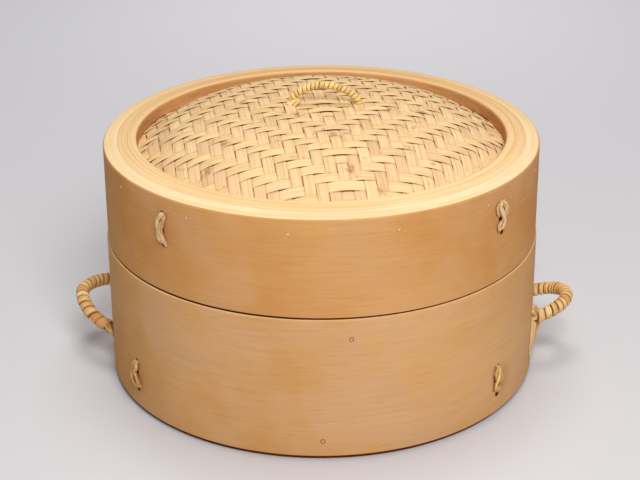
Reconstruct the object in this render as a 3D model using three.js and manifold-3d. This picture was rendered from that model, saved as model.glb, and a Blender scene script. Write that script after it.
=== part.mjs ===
// A round two-part steamer. The tray is a bent-wood hoop with an inner hoop, a slatted floor and two
// rattan handles. The lid is a deeper rim of hoops round a woven bamboo dome with a rattan arch on top.
// Millimetres, +Z up. The origin is the middle of the tray's underside, and the front is towards -Y.
// Azimuths are in degrees round the wall, from the front towards +X.

import * as THREE from 'three';
import { mergeVertices } from 'three/addons/utils/BufferGeometryUtils.js';
import Module from 'manifold-3d';

const wasm = await Module();
wasm.setup();

// Clearances
const gap = 0.3; // between pieces that touch
const lipClearance = 0.5; // between the tray's lip and the lid's hoop, all round
const lipHeadroom = 1; // above the lip, inside the lid
const ribClearance = 0.6; // between the lining's facets and the ribs
const holeClearance = 0.3; // round a peg or a cane core in its hole

// Tray
const trayRadius = 162.3;
const trayHeight = 110.5; // floor to seam
const trayWall = 11.5;
const innerHoopWall = 7;
const lipRise = 10; // how far the inner hoop stands up past the seam
const footHeight = 24.3; // top of the foot ring, which carries the floor
const footLift = 1.5; // the foot ring's underside is this far off the floor
const ledgeDepth = 7; // the foot ring reaches this far in past the inner hoop
const barWidth = 14;
const barThickness = 8;
const barCount = 3;
const barAzimuth = 56; // the outer crossbars end here, behind the tray's stitches
const slatWidth = 14;
const slatThickness = 3;
const slatCount = 11;
const slatShortest = 82; // half the length of the outermost slats

// Lid
const lidInset = 0.8; // the lid's hoop lies this far inside the tray's
const lidHeight = 72.4; // at the rim's outer edge
const rimRise = 3.2; // how far the rim climbs from its outer edge to its inner one
const middleHoopWall = 7.3;
const ringWall = 6.6; // ring over the edge of the weave, and the seat ring under it
const recessDepth = 8.1; // the rim's outer edge to the edge of the weave
const seatHeight = 20;
const domeRise = 31.9;
const domePower = 3; // the dome is flatter on top and steeper at its edge than an arc
const weaveThickness = 2.4;
const liningThickness = 1.4;
const ribWidth = 12;
const ribThickness = 3;

// Rounded edges of the hoops
const rimRound = 2;
const ringRound = 3; // the inner edge of the ring over the weave
const seamRound = 1.2;
const footRound = 2.2;

// Rattan side handles. Each stands on the wall at an azimuth and a height, and is turned there in
// degrees: its outer end tilts up, and it rolls about the way out of the wall. A power over 1 draws
// its loop to a point, and one under 1 squares it.
const leftHandle = { side: 'left', azimuth: -95.3, z: 34.4, tilt: 21.6, roll: -5 };
const leftLoop = { half: 34.4, reach: 32.3, power: 1.3, turns: 17 };
const rightHandle = { side: 'right', azimuth: 90, z: 39.2, tilt: 18.6, roll: -2 };
const rightLoop = { half: 24, reach: 30.4, power: 0.93, turns: 15 };
const sideCoreRadius = 3.6;
const sidePeel = 1.3; // thickness of the winding
const sideLegShort = 2.5; // the handles' ends stop this far short of the wall's inner face

// Rattan arch on the lid
const archLoop = { half: 25.5, reach: 14.8, power: 1.2, turns: 14 };
const archCoreRadius = 1.7;
const archPeel = 0.7;
const archOffset = { x: 4, y: -1 }; // the arch is not quite in the middle of the lid
const archStem = 10.5; // length of the arch's ends inside the lid

// Both kinds of winding
const turnGap = 0.9; // between neighbouring turns
const peelShoulder = 0.2; // share of the peel's thickness at which its rounded back starts

// Cane stitches and bamboo pegs
const stitchHeight = 22;
const stitchWidth = 5.2;
const stitchThickness = 2.6;
const stitchReach = 2.1; // how far the bridge stands off the wall
const stitchPower = 0.5; // squares the bridge's shoulders
const stitchShort = 1; // the legs stop this far short of the wall's inner face
const stitchHoleRadius = 3.1;
const trayStitchZ = 29.2;
const lidStitchDrop = 23.8; // below the rim's outer edge
const trayStitchAzimuths = [-56.4, 51.5, 128, -122];
const lidStitchAzimuths = [-42.4, 51, 137, -134];
const pegRadius = 1.5;
const pegProud = 0.25;
const pegShort = 1; // the lid's pegs stop this far short of the middle hoop's inner face
const trayPegDrop = 15.7; // the upper pegs, below the seam
const trayPegLift = 15.3; // the lower pegs, above the floor
const trayPegAzimuths = { high: [7, 127, -113], low: [0, 140, -140] };
const lidPegDrop = 10.2; // below the rim's outer edge
const lidPegFirst = -61.2;
const lidPegStep = 26.6;
const lidPegCount = 13;

// Facets
const roundSteps = 48;
const domeSteps = 6;
const domeSpacing = 0.75; // under 1 draws the steps of the dome together towards its edge
const cornerSteps = 2;
const turnSteps = 10;
const coreSides = 8;
const coreSteps = 18;
const stitchSteps = 8;
const trackSteps = 400; // steps that measure the length of an arch
const overcut = 2; // cuts run this far past the faces they open through

// Sizes that follow from those above
const trayBore = trayRadius - trayWall;
const innerHoopRadius = trayBore - gap;
const innerHoopBore = innerHoopRadius - innerHoopWall;
const ledgeBore = innerHoopBore - ledgeDepth;
const floorZ = footHeight + gap;
const lidRadius = trayRadius - lidInset;
const lidBore = innerHoopRadius + lipClearance;
const middleRadius = lidBore - gap;
const middleBore = middleRadius - middleHoopWall;
const ringRadius = middleBore - gap;
const ringBore = ringRadius - ringWall;
const weaveEdgeZ = lidHeight - recessDepth; // above the seam
const liningDrop = weaveThickness + gap;
const ribDrop = liningDrop + liningThickness + ribClearance;
const seatTop = weaveEdgeZ - liningDrop - liningThickness - gap;
const lidStitchZ = lidHeight - lidStitchDrop;
const lidPegZ = lidHeight - lidPegDrop;
const trayPegZ = { high: trayHeight - trayPegDrop, low: trayPegLift };
const facetShrink = Math.cos(Math.PI / roundSteps); // a facet's middle lies this much nearer the axis

// Materials
function finish(color, roughness) {
  return () => new THREE.MeshStandardMaterial({ color, roughness, metalness: 0 });
}
const bentWood = finish(0xc9985c, 0.55);
const wovenBamboo = finish(0xdcbf8c, 0.6);
const splitBamboo = finish(0xc8a468, 0.6);
const rattan = finish(0xcf9f5c, 0.5);
const cane = finish(0xdab983, 0.55);

function named(name, geometry, material) {
  const mesh = new THREE.Mesh(geometry, material());
  mesh.name = name;
  return mesh;
}

// Joining and cutting

function toSolid(geometry) {
  const bare = geometry.clone();
  bare.deleteAttribute('normal');
  bare.deleteAttribute('uv');
  const merged = mergeVertices(bare, 1e-4);
  return new wasm.Manifold(new wasm.Mesh({
    numProp: 3,
    vertProperties: merged.attributes.position.array,
    triVerts: Uint32Array.from(merged.index.array),
  }));
}

function toGeometry(solid) {
  const { vertProperties, triVerts } = solid.getMesh();
  const geometry = new THREE.BufferGeometry();
  geometry.setAttribute('position', new THREE.Float32BufferAttribute(vertProperties, 3));
  geometry.setIndex(Array.from(triVerts));
  geometry.computeVertexNormals();
  return geometry;
}

function cut(geometry, cutters) {
  let solid = toSolid(geometry);
  for (const cutter of cutters) solid = solid.subtract(toSolid(cutter));
  return toGeometry(solid);
}

// Shapes

// A point on a wall, where the azimuth runs from the front towards +X.
function onWall(azimuth, radius, z) {
  const angle = THREE.MathUtils.degToRad(azimuth);
  return new THREE.Vector3(radius * Math.sin(angle), -radius * Math.cos(angle), z);
}

function rod(start, end, radius, sides) {
  const along = end.clone().sub(start);
  const geometry = new THREE.CylinderGeometry(radius, radius, along.length(), sides);
  const upright = new THREE.Vector3(0, 1, 0);
  geometry.applyQuaternion(new THREE.Quaternion().setFromUnitVectors(upright, along.normalize()));
  geometry.translate(...start.clone().add(end).multiplyScalar(0.5).toArray());
  return geometry;
}

// A closed quarter turn of points that rounds one corner, or the bare corner where the radius is 0.
function corner(x, y, radius, startAngle, inX, inY) {
  if (radius === 0) return [new THREE.Vector2(x, y)];
  const middle = new THREE.Vector2(x + inX * radius, y + inY * radius);
  return Array.from({ length: cornerSteps + 1 }, (_, step) => {
    const angle = startAngle + (step / cornerSteps) * (Math.PI / 2);
    return new THREE.Vector2(Math.cos(angle), Math.sin(angle)).multiplyScalar(radius).add(middle);
  });
}

function turned(profile) {
  return new THREE.LatheGeometry(profile, roundSteps).rotateX(Math.PI / 2);
}

// A bent hoop, with rounded edges. Its top can stand higher at the bore than outside.
function hoop(bore, radius, bottom, top, rounds = {}, boreTop = top) {
  const profile = [
    ...corner(radius, bottom, rounds.bottom ?? 0, -Math.PI / 2, -1, 1),
    ...corner(radius, top, rounds.top ?? 0, 0, -1, -1),
    ...corner(bore, boreTop, rounds.bore ?? 0, Math.PI / 2, 1, -1),
    new THREE.Vector2(bore, bottom),
  ];
  return turned([...profile, profile[0].clone()]);
}

// Height of the lid's rim above the seam, which climbs evenly towards the weave.
function rimHeight(radius) {
  return lidHeight + (rimRise * (lidRadius - radius)) / (lidRadius - ringBore);
}

// One of the lid's hoops, up to the rim.
function rimHoop(bore, radius, bottom, rounds) {
  return hoop(bore, radius, bottom, rimHeight(radius), rounds, rimHeight(bore));
}

// Height of the dome's top above the seam.
function slopedHeight(radius) {
  return weaveEdgeZ + domeRise * (1 - (radius / ringBore) ** domePower);
}

// Radii where the dome's outline has a point.
function domeStations() {
  const share = (step) => (step / domeSteps) ** domeSpacing;
  return Array.from({ length: domeSteps + 1 }, (_, step) => ringBore * share(step));
}

// One layer of the dome, with a flat brim that lies under the thin ring.
function domeLayer(drop, thickness) {
  const top = domeStations().map((radius) => new THREE.Vector2(radius, slopedHeight(radius) - drop));
  top.push(new THREE.Vector2(ringRadius, weaveEdgeZ - drop));
  const bottom = top.map((point) => new THREE.Vector2(point.x, point.y - thickness));
  return turned([...bottom, ...top.reverse()]);
}

// A bent strip under the dome, along X, with its top the given drop below the weave.
function domeRib(drop) {
  const reach = ringBore * facetShrink - gap;
  const half = domeStations().filter((radius) => radius < reach);
  const xs = [-reach, ...half.slice(1).reverse().map((x) => -x), ...half, reach];
  const outline = new THREE.Shape();
  const height = (x) => slopedHeight(Math.abs(x)) - drop;
  xs.forEach((x, index) => {
    if (index === 0) outline.moveTo(x, height(x));
    else outline.lineTo(x, height(x));
  });
  for (const x of xs.slice().reverse()) outline.lineTo(x, height(x) - ribThickness);
  outline.closePath();
  const strip = new THREE.ExtrudeGeometry(outline, { depth: ribWidth, bevelEnabled: false });
  return strip.translate(0, 0, -ribWidth / 2).rotateX(Math.PI / 2);
}

// An arch in its own XY plane: straight legs along -Y, and between them a crown from (half, 0)
// over (0, reach) to (-half, 0).
class Arch extends THREE.Curve {
  constructor({ half, reach, power, leg }) {
    super();
    Object.assign(this, { half, reach, power, leg });
  }

  crown(turn) {
    const across = Math.cos(turn);
    const x = this.half * Math.sign(across) * Math.abs(across) ** this.power;
    return new THREE.Vector3(x, this.reach * Math.sin(turn), 0);
  }

  getPoint(t) {
    const legShare = this.leg / (this.leg * 2 + this.half * 2 + this.reach);
    if (t < legShare) return new THREE.Vector3(this.half, -this.leg * (1 - t / legShare), 0);
    if (t > 1 - legShare) return new THREE.Vector3(-this.half, -this.leg * (1 - (1 - t) / legShare), 0);
    return this.crown(((t - legShare) / (1 - legShare * 2)) * Math.PI);
  }
}

// The round core of an arch.
function archCore(arch, radius) {
  const section = new THREE.Shape();
  for (let side = 0; side < coreSides; side += 1) {
    const angle = (side / coreSides) * Math.PI * 2;
    const point = [radius * Math.cos(angle), radius * Math.sin(angle)];
    if (side === 0) section.moveTo(...point);
    else section.lineTo(...point);
  }
  return new THREE.ExtrudeGeometry(section, { steps: coreSteps, extrudePath: arch, bevelEnabled: false });
}

// A closed skin over rings of points, with the same number of points in each ring.
function skin(rings) {
  const sides = rings[0].length;
  const positions = rings.flat().flatMap((point) => point.toArray());
  const index = [];
  for (let ring = 0; ring < rings.length - 1; ring += 1) {
    for (let side = 0; side < sides; side += 1) {
      const a = ring * sides + side;
      const b = ring * sides + ((side + 1) % sides);
      index.push(a, b + sides, b, a, a + sides, b + sides);
    }
  }
  const last = (rings.length - 1) * sides;
  for (let side = 1; side < sides - 1; side += 1) {
    index.push(0, side, side + 1);
    index.push(last, last + side + 1, last + side);
  }
  const geometry = new THREE.BufferGeometry();
  geometry.setAttribute('position', new THREE.Float32BufferAttribute(positions, 3));
  geometry.setIndex(index);
  geometry.computeVertexNormals();
  return geometry;
}

// Stations along an arch's crown, evenly spaced, each with its outward normal in the arch's plane.
function crownTrack(arch, start) {
  const turnAt = (step) => (step / trackSteps) * Math.PI;
  const points = Array.from({ length: trackSteps + 1 }, (_, step) => arch.crown(turnAt(step)));
  const lengths = [0];
  for (let step = 1; step <= trackSteps; step += 1) {
    lengths.push(lengths[step - 1] + points[step].distanceTo(points[step - 1]));
  }
  const whole = lengths[trackSteps];
  const span = whole - start * 2;
  function at(share) {
    const distance = THREE.MathUtils.clamp(start + share * span, 0, whole);
    const next = Math.max(1, lengths.findIndex((length) => length >= distance));
    const mix = (distance - lengths[next - 1]) / (lengths[next] - lengths[next - 1]);
    const point = points[next - 1].clone().lerp(points[next], mix);
    const tangent = points[next].clone().sub(points[next - 1]).normalize();
    return { point, tangent, normal: new THREE.Vector3(tangent.y, -tangent.x, 0) };
  }
  return { at, span };
}

// Flat peel wound round an arch's core as one unbroken strand. Its turns are narrower inside the bend.
function archWinding(name, arch, turns, coreRadius, peel, start) {
  const track = crownTrack(arch, start);
  const middle = coreRadius + gap + peel / 2;
  const up = new THREE.Vector3(0, 0, 1);
  const steps = turns * turnSteps;
  const rings = [];
  for (let step = 0; step <= steps; step += 1) {
    const share = step / steps;
    const angle = (step / turnSteps) * Math.PI * 2;
    const { point, tangent, normal } = track.at(share);
    const outward = normal.clone().multiplyScalar(Math.cos(angle));
    outward.addScaledVector(up, Math.sin(angle));
    const before = Math.max(share - 0.5 / turns, 0);
    const after = Math.min(share + 0.5 / turns, 1);
    const [from, to] = [before, after].map((place) => {
      const near = track.at(place);
      return near.point.clone().addScaledVector(near.normal, middle * Math.cos(angle));
    });
    const pitch = from.distanceTo(to) / (after - before) / turns;
    const half = (pitch - turnGap) / 2;
    const centre = point.clone().addScaledVector(outward, middle);
    const place = (along, out) => {
      const corner = centre.clone().addScaledVector(tangent, along);
      return corner.addScaledVector(outward, out);
    };
    rings.push([
      place(-half, -peel / 2),
      place(half, -peel / 2),
      place(half, peel * peelShoulder),
      place(0, peel / 2),
      place(-half, peel * peelShoulder),
    ]);
  }
  let least = Infinity;
  for (let step = 0; step + turnSteps < rings.length; step += 1) {
    for (const here of rings[step]) {
      for (const there of rings[step + turnSteps]) least = Math.min(least, here.distanceTo(there));
    }
  }
  console.log(`${name}: least gap between turns ${least.toFixed(2)} mm`);
  const run = (ring, next) => ring.map((point, side) => point.clone().add(
    ring[side].clone().sub(next[side]).setLength(peel),
  ));
  rings.unshift(run(rings[0], rings[1]));
  rings.push(run(rings[rings.length - 1], rings[rings.length - 2]));
  return skin(rings);
}

// Flat strap of a stitch: legs that go into the wall and a low bridge outside it. Its segments meet in
// mitres, so that all its faces are flat.
function stitchStrap(leg) {
  const half = stitchHeight / 2;
  const arch = new Arch({ half, reach: stitchReach, power: stitchPower, leg });
  const turns = Array.from({ length: stitchSteps + 1 }, (_, step) => (step / stitchSteps) * Math.PI);
  const legEnd = (side) => new THREE.Vector3(side * half, -leg, 0);
  const points = [legEnd(1), ...turns.map((turn) => arch.crown(turn)), legEnd(-1)];
  const aheads = points.slice(1).map((point, index) => point.clone().sub(points[index]).normalize());
  const mitres = points.map((_, index) => {
    const after = aheads[Math.min(index, aheads.length - 1)];
    const ahead = aheads[Math.max(index - 1, 0)].clone().add(after).normalize();
    return new THREE.Vector3(ahead.y, -ahead.x, 0).divideScalar(ahead.dot(after));
  });
  const w = stitchWidth / 2;
  const t = stitchThickness / 2;
  const outline = [[-w, 0], [-w / 2, t], [w / 2, t], [w, 0], [w / 2, -t], [-w / 2, -t]];
  return skin(points.map((point, index) => outline.map(([across, out]) => (
    point.clone().addScaledVector(mitres[index], out).add(new THREE.Vector3(0, 0, across))
  ))));
}

// A radial hole through a hoop, from outside it to the given inner radius.
function radialHole(azimuth, z, radius, outer, inner) {
  return rod(onWall(azimuth, inner, z), onWall(azimuth, outer + overcut, z), radius, coreSides);
}

// A stitch's two holes through a wall.
function stitchHoles(azimuths, z, outer, inner) {
  return azimuths.flatMap((azimuth) => [-1, 1].map((side) => (
    radialHole(azimuth, z + (side * stitchHeight) / 2, stitchHoleRadius, outer, inner)
  )));
}

// A stitch stood upright against the wall, with its legs pointing to the axis.
function placeStitch(mesh, azimuth, z, radius) {
  const upright = new THREE.Group();
  upright.rotation.set(0, Math.PI / 2, 0);
  upright.add(mesh);
  const around = new THREE.Group();
  around.rotation.z = THREE.MathUtils.degToRad(azimuth) - Math.PI;
  around.position.copy(onWall(azimuth, radius * facetShrink, z));
  around.add(upright);
  return around;
}

// A peg lies along its own Y, with its outer end at the mesh's origin.
function peg(name, azimuth, z, radius, length) {
  const geometry = new THREE.CylinderGeometry(pegRadius, pegRadius, length, coreSides);
  geometry.translate(0, -length / 2, 0);
  const mesh = named(name, geometry, splitBamboo);
  mesh.rotation.z = THREE.MathUtils.degToRad(azimuth) - Math.PI;
  mesh.position.copy(onWall(azimuth, radius * facetShrink + pegProud, z));
  return mesh;
}

// The frame of one side handle: X along the wall, Y out of it and up by the tilt.
function sideHandleFrame({ azimuth, z, tilt, roll }, half) {
  const frame = new THREE.Group();
  const chordRadius = Math.sqrt(trayRadius ** 2 - half ** 2);
  frame.position.copy(onWall(azimuth, chordRadius, z));
  frame.rotation.order = 'ZYX';
  frame.rotation.z = THREE.MathUtils.degToRad(azimuth) - Math.PI;
  frame.rotation.y = THREE.MathUtils.degToRad(roll);
  frame.rotation.x = THREE.MathUtils.degToRad(tilt);
  frame.updateMatrixWorld(true);
  return frame;
}

// Tray

function buildTray() {
  const tray = new THREE.Group();
  const handleCuts = [];
  for (const [handle, loop] of [[leftHandle, leftLoop], [rightHandle, rightLoop]]) {
    const { half } = loop;
    const frame = sideHandleFrame(handle, half);
    const tilt = THREE.MathUtils.degToRad(handle.tilt);
    const leg = (trayWall - sideLegShort) / Math.cos(tilt);
    const arch = new Arch({ ...loop, leg });
    frame.add(named(`tray_handle_core_${handle.side}`, archCore(arch, sideCoreRadius), rattan));
    // The turns stay clear of the wall, which slopes away from the handle's plane.
    const start = (sideCoreRadius + sidePeel) * (1 + Math.tan(tilt));
    const name = `tray_handle_wrap_${handle.side}`;
    const wound = archWinding(name, arch, loop.turns, sideCoreRadius, sidePeel, start);
    frame.add(named(name, wound, rattan));
    tray.add(frame);
    for (const end of [-half, half]) {
      const bottom = new THREE.Vector3(end, -leg - gap, 0);
      const mouth = new THREE.Vector3(end, trayWall, 0);
      const hole = rod(bottom, mouth, sideCoreRadius + holeClearance, coreSides * 2);
      handleCuts.push(hole.applyMatrix4(frame.matrixWorld));
    }
  }

  const pegDepth = trayWall + innerHoopWall / 2;
  const pegHoles = ['high', 'low'].flatMap((row) => trayPegAzimuths[row].map((azimuth) => (
    radialHole(azimuth, trayPegZ[row], pegRadius + holeClearance, trayRadius, trayRadius - pegDepth - gap)
  )));

  const outer = hoop(trayBore, trayRadius, 0, trayHeight, { bottom: footRound, top: seamRound });
  const stitchCuts = stitchHoles(trayStitchAzimuths, trayStitchZ, trayRadius, trayBore - overcut);
  tray.add(named('tray_outer_hoop', cut(outer, [...handleCuts, ...stitchCuts, ...pegHoles]), bentWood));
  const inner = hoop(innerHoopBore, innerHoopRadius, floorZ, trayHeight + lipRise, { top: seamRound });
  tray.add(named('tray_inner_hoop', cut(inner, pegHoles), bentWood));

  const outermost = innerHoopRadius * Math.cos(THREE.MathUtils.degToRad(barAzimuth));
  const bars = Array.from({ length: barCount }, (_, index) => (
    outermost * ((2 * index) / (barCount - 1) - 1)
  ));
  const notches = bars.map((y) => {
    const notch = new THREE.BoxGeometry(trayRadius * 2, barWidth + gap * 2, barThickness + gap * 2);
    return notch.translate(0, y, footHeight - barThickness / 2);
  });
  const foot = hoop(ledgeBore, innerHoopRadius, footLift, footHeight);
  tray.add(named('tray_foot_ring', cut(foot, [...notches, ...pegHoles]), bentWood));

  bars.forEach((y, index) => {
    const room = innerHoopRadius * facetShrink - gap;
    const length = 2 * Math.sqrt(room ** 2 - (Math.abs(y) + barWidth / 2) ** 2);
    const box = new THREE.BoxGeometry(length, barWidth, barThickness);
    const bar = named(`tray_crossbar_${index + 1}`, box, splitBamboo);
    bar.position.set(0, y, footHeight - barThickness / 2);
    tray.add(bar);
  });

  const slatRoom = innerHoopBore * facetShrink - gap;
  const widest = Math.sqrt(slatRoom ** 2 - slatShortest ** 2) - slatWidth / 2;
  for (let index = 0; index < slatCount; index += 1) {
    const x = widest * ((2 * index) / (slatCount - 1) - 1);
    const length = 2 * Math.sqrt(slatRoom ** 2 - (Math.abs(x) + slatWidth / 2) ** 2);
    const slat = new THREE.BoxGeometry(slatWidth, length, slatThickness);
    const mesh = named(`tray_slat_${index + 1}`, slat, splitBamboo);
    mesh.position.set(x, 0, floorZ + slatThickness / 2);
    tray.add(mesh);
  }

  trayStitchAzimuths.forEach((azimuth, index) => {
    const strap = named(`tray_stitch_${index + 1}`, stitchStrap(trayWall - stitchShort), cane);
    tray.add(placeStitch(strap, azimuth, trayStitchZ, trayRadius));
  });
  for (const row of ['high', 'low']) {
    trayPegAzimuths[row].forEach((azimuth, index) => {
      tray.add(peg(`tray_peg_${row}_${index + 1}`, azimuth, trayPegZ[row], trayRadius, pegDepth));
    });
  }
  return tray;
}

// Lid: its own origin is the middle of its underside.

function buildLid() {
  const lid = new THREE.Group();
  const pegDepth = lidRadius - middleBore - pegShort;
  const pegAzimuth = (index) => lidPegFirst + index * lidPegStep;
  const lidPegs = Array.from({ length: lidPegCount }, (_, index) => pegAzimuth(index));
  const pegHoles = lidPegs.map((azimuth) => (
    radialHole(azimuth, lidPegZ, pegRadius + holeClearance, lidRadius, lidRadius - pegDepth - gap)
  ));
  const stitchCuts = stitchHoles(lidStitchAzimuths, lidStitchZ, lidRadius, lidBore - overcut);
  const outer = rimHoop(lidBore, lidRadius, 0, { bottom: seamRound, top: rimRound });
  lid.add(named('lid_outer_hoop', cut(outer, [...stitchCuts, ...pegHoles]), bentWood));
  const middle = rimHoop(middleBore, middleRadius, lipRise + lipHeadroom, {});
  lid.add(named('lid_middle_hoop', cut(middle, pegHoles), bentWood));
  const ring = rimHoop(ringBore, ringRadius, weaveEdgeZ + gap, { bore: ringRound });
  lid.add(named('lid_inner_ring', ring, bentWood));
  const seat = hoop(ringBore, ringRadius, seatTop - seatHeight, seatTop);
  lid.add(named('lid_seat_ring', seat, bentWood));

  const arch = new Arch({ ...archLoop, leg: archStem });
  const crownZ = slopedHeight(arch.half + Math.abs(archOffset.x));
  const frame = new THREE.Group();
  frame.position.set(archOffset.x, archOffset.y, crownZ);
  frame.rotation.x = Math.PI / 2;
  frame.updateMatrixWorld(true);
  frame.add(named('lid_handle_core', archCore(arch, archCoreRadius), rattan));
  const name = 'lid_handle_wrap';
  const start = archCoreRadius + archPeel * 2;
  const wound = archWinding(name, arch, archLoop.turns, archCoreRadius, archPeel, start);
  frame.add(named(name, wound, rattan));
  lid.add(frame);
  const stems = [-arch.half, arch.half].map((x) => {
    const bottom = new THREE.Vector3(x, -archStem - overcut, 0);
    const mouth = new THREE.Vector3(x, overcut, 0);
    const hole = rod(bottom, mouth, archCoreRadius + holeClearance, coreSides * 2);
    return hole.applyMatrix4(frame.matrixWorld);
  });

  lid.add(named('lid_weave', cut(domeLayer(0, weaveThickness), stems), wovenBamboo));
  lid.add(named('lid_lining', cut(domeLayer(liningDrop, liningThickness), stems), wovenBamboo));
  lid.add(named('lid_rib_across', cut(domeRib(ribDrop), stems), splitBamboo));
  const lower = domeRib(ribDrop + ribThickness + gap).rotateZ(Math.PI / 2);
  lid.add(named('lid_rib_along', lower, splitBamboo));

  lidStitchAzimuths.forEach((azimuth, index) => {
    const leg = lidRadius - lidBore - stitchShort;
    const strap = named(`lid_stitch_${index + 1}`, stitchStrap(leg), cane);
    lid.add(placeStitch(strap, azimuth, lidStitchZ, lidRadius));
  });
  lidPegs.forEach((azimuth, index) => {
    lid.add(peg(`lid_peg_${index + 1}`, azimuth, lidPegZ, lidRadius, pegDepth));
  });
  return lid;
}

const steamer = new THREE.Group();
steamer.add(buildTray());
const lid = buildLid();
lid.position.z = trayHeight + gap;
steamer.add(lid);

export default steamer;
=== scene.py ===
"""The looks of a bent-wood steamer basket: hoops, slatted floor, woven lid, rattan handles."""

from __future__ import annotations

import logging
import random
from bisect import bisect_right
from collections.abc import Callable, Iterable, Sequence
from dataclasses import dataclass, field
from enum import Enum
from functools import cache
from math import atan2, copysign, cos, degrees, exp, pi, radians, sin, sqrt, tau

import bmesh
import bpy
from mathutils import Matrix, Vector


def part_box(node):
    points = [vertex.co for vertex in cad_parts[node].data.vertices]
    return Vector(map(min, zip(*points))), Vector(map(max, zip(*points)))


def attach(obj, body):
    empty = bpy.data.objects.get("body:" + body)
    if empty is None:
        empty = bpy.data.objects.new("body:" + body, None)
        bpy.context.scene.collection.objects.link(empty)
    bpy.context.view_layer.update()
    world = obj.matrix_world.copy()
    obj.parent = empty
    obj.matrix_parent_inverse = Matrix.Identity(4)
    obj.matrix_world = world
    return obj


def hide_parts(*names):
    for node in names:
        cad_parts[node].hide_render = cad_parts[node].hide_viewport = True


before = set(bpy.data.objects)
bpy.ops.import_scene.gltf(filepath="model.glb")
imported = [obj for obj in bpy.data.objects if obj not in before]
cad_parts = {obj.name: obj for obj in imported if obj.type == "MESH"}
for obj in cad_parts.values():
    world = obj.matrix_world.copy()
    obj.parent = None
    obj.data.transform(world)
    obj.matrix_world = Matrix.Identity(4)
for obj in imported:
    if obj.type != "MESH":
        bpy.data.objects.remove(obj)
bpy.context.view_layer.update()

log = logging.getLogger("steamer")

MM = 0.001
# The step between the numbers of neighbouring strips, from which each takes its own tone.
NUMBER_STEP = 0.37
UP = Vector((0, 0, 1))

# Short names for types: a colour, a range, three numbers, a point, a line of points and a node's socket.
Colour = tuple[float, float, float, float]
Span = tuple[float, float]
Three = tuple[float, float, float]
Spot = Three
Route = tuple[Spot, ...]
Socket = bpy.types.NodeSocket


def tint(code: str) -> Colour:
    """Turns the code of a colour, as a screen shows it, into linear light."""
    shares = [channel / 255 for channel in bytes.fromhex(code)]
    return (*(s / 12.92 if s <= 0.04045 else ((s + 0.055) / 1.055) ** 2.4 for s in shares), 1.0)


class Body(Enum):
    """The two bodies that move on their own."""

    TRAY = "tray"
    LID = "lid"


class Slot(Enum):
    """The record's material slots."""

    BENT_WOOD = "bent_wood"
    WOVEN = "woven_bamboo"
    SPLIT = "split_bamboo"
    PEG = "peg_bamboo"
    RATTAN = "rattan"
    CANE = "cane"


@dataclass
class Tree:
    """A node tree while it is wired up."""

    tree: bpy.types.NodeTree

    def node(self, kind: str, sockets: dict | None = None, **settings: object) -> bpy.types.Node:
        """Adds a node.

        Args:
            kind: The node's type, without the words that all of them start with.
            sockets: Input name or number to a value, or to the socket that feeds it.
            **settings: The node's own settings.

        Returns:
            The new node.
        """
        node = self.tree.nodes.new(f"ShaderNode{kind}")
        for key, value in settings.items():
            setattr(node, key, value)
        for key, value in (sockets or {}).items():
            if isinstance(value, Socket):
                self.tree.links.new(value, node.inputs[key])
            else:
                node.inputs[key].default_value = value
        return node

    def math(self, operation: str, *values: object) -> Socket:
        """Adds a Math node on the given values and returns its output."""
        return self.node("Math", dict(enumerate(values)), operation=operation).outputs[0]

    def times(self, value: object, size: object) -> Socket:
        """Returns a number times another."""
        return self.math("MULTIPLY", value, size)

    def mix(self, factor: object, low: object, high: object) -> Socket:
        """Mixes two colours, with the factor as the share of the second."""
        return self.node("Mix", {0: factor, 6: low, 7: high}, data_type="RGBA").outputs[2]

    def spread(self, value: object, low: object, high: object, most: float = 1.0) -> Socket:
        """Stretches the part of a value between two limits over 0 to the most, and clamps it."""
        sockets = {"Value": value, "From Min": low, "From Max": high, "To Max": most}
        return self.node("MapRange", sockets, clamp=True).outputs[0]

    def noise(self, vector: object, detail: float, rough: float) -> Socket:
        """Returns noise from 0 to 1 at a vector that is already scaled."""
        sockets = {"Vector": vector, "Scale": 1.0, "Detail": detail, "Roughness": rough}
        return self.node("TexNoise", sockets).outputs["Fac"]

    def vector(self, x: object, y: object, z: object) -> Socket:
        """Joins three numbers into a vector and returns it."""
        return self.node("CombineXYZ", {"X": x, "Y": y, "Z": z}).outputs[0]

    def parts(self, vector: object) -> bpy.types.NodeOutputs:
        """Splits a vector into its three numbers."""
        return self.node("SeparateXYZ", {0: vector}).outputs

    def scaled(self, vector: object, size: object) -> Socket:
        """Returns a vector times a number."""
        return self.node("VectorMath", {0: vector, "Scale": size}, operation="SCALE").outputs[0]

    def attribute(self, name: str, output: str = "Fac") -> Socket:
        """Returns what the mesh carries under a name."""
        return self.node("Attribute", attribute_name=name).outputs[output]

    def place(self) -> Socket:
        """Returns the place on the surface, in metres."""
        return self.node("TexCoord").outputs["Object"]

    def group(self, shared: bpy.types.NodeTree, **values: float) -> bpy.types.NodeOutputs:
        """Places a shared group with its input values and returns its outputs."""
        return self.node("Group", values, node_tree=shared).outputs


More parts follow.
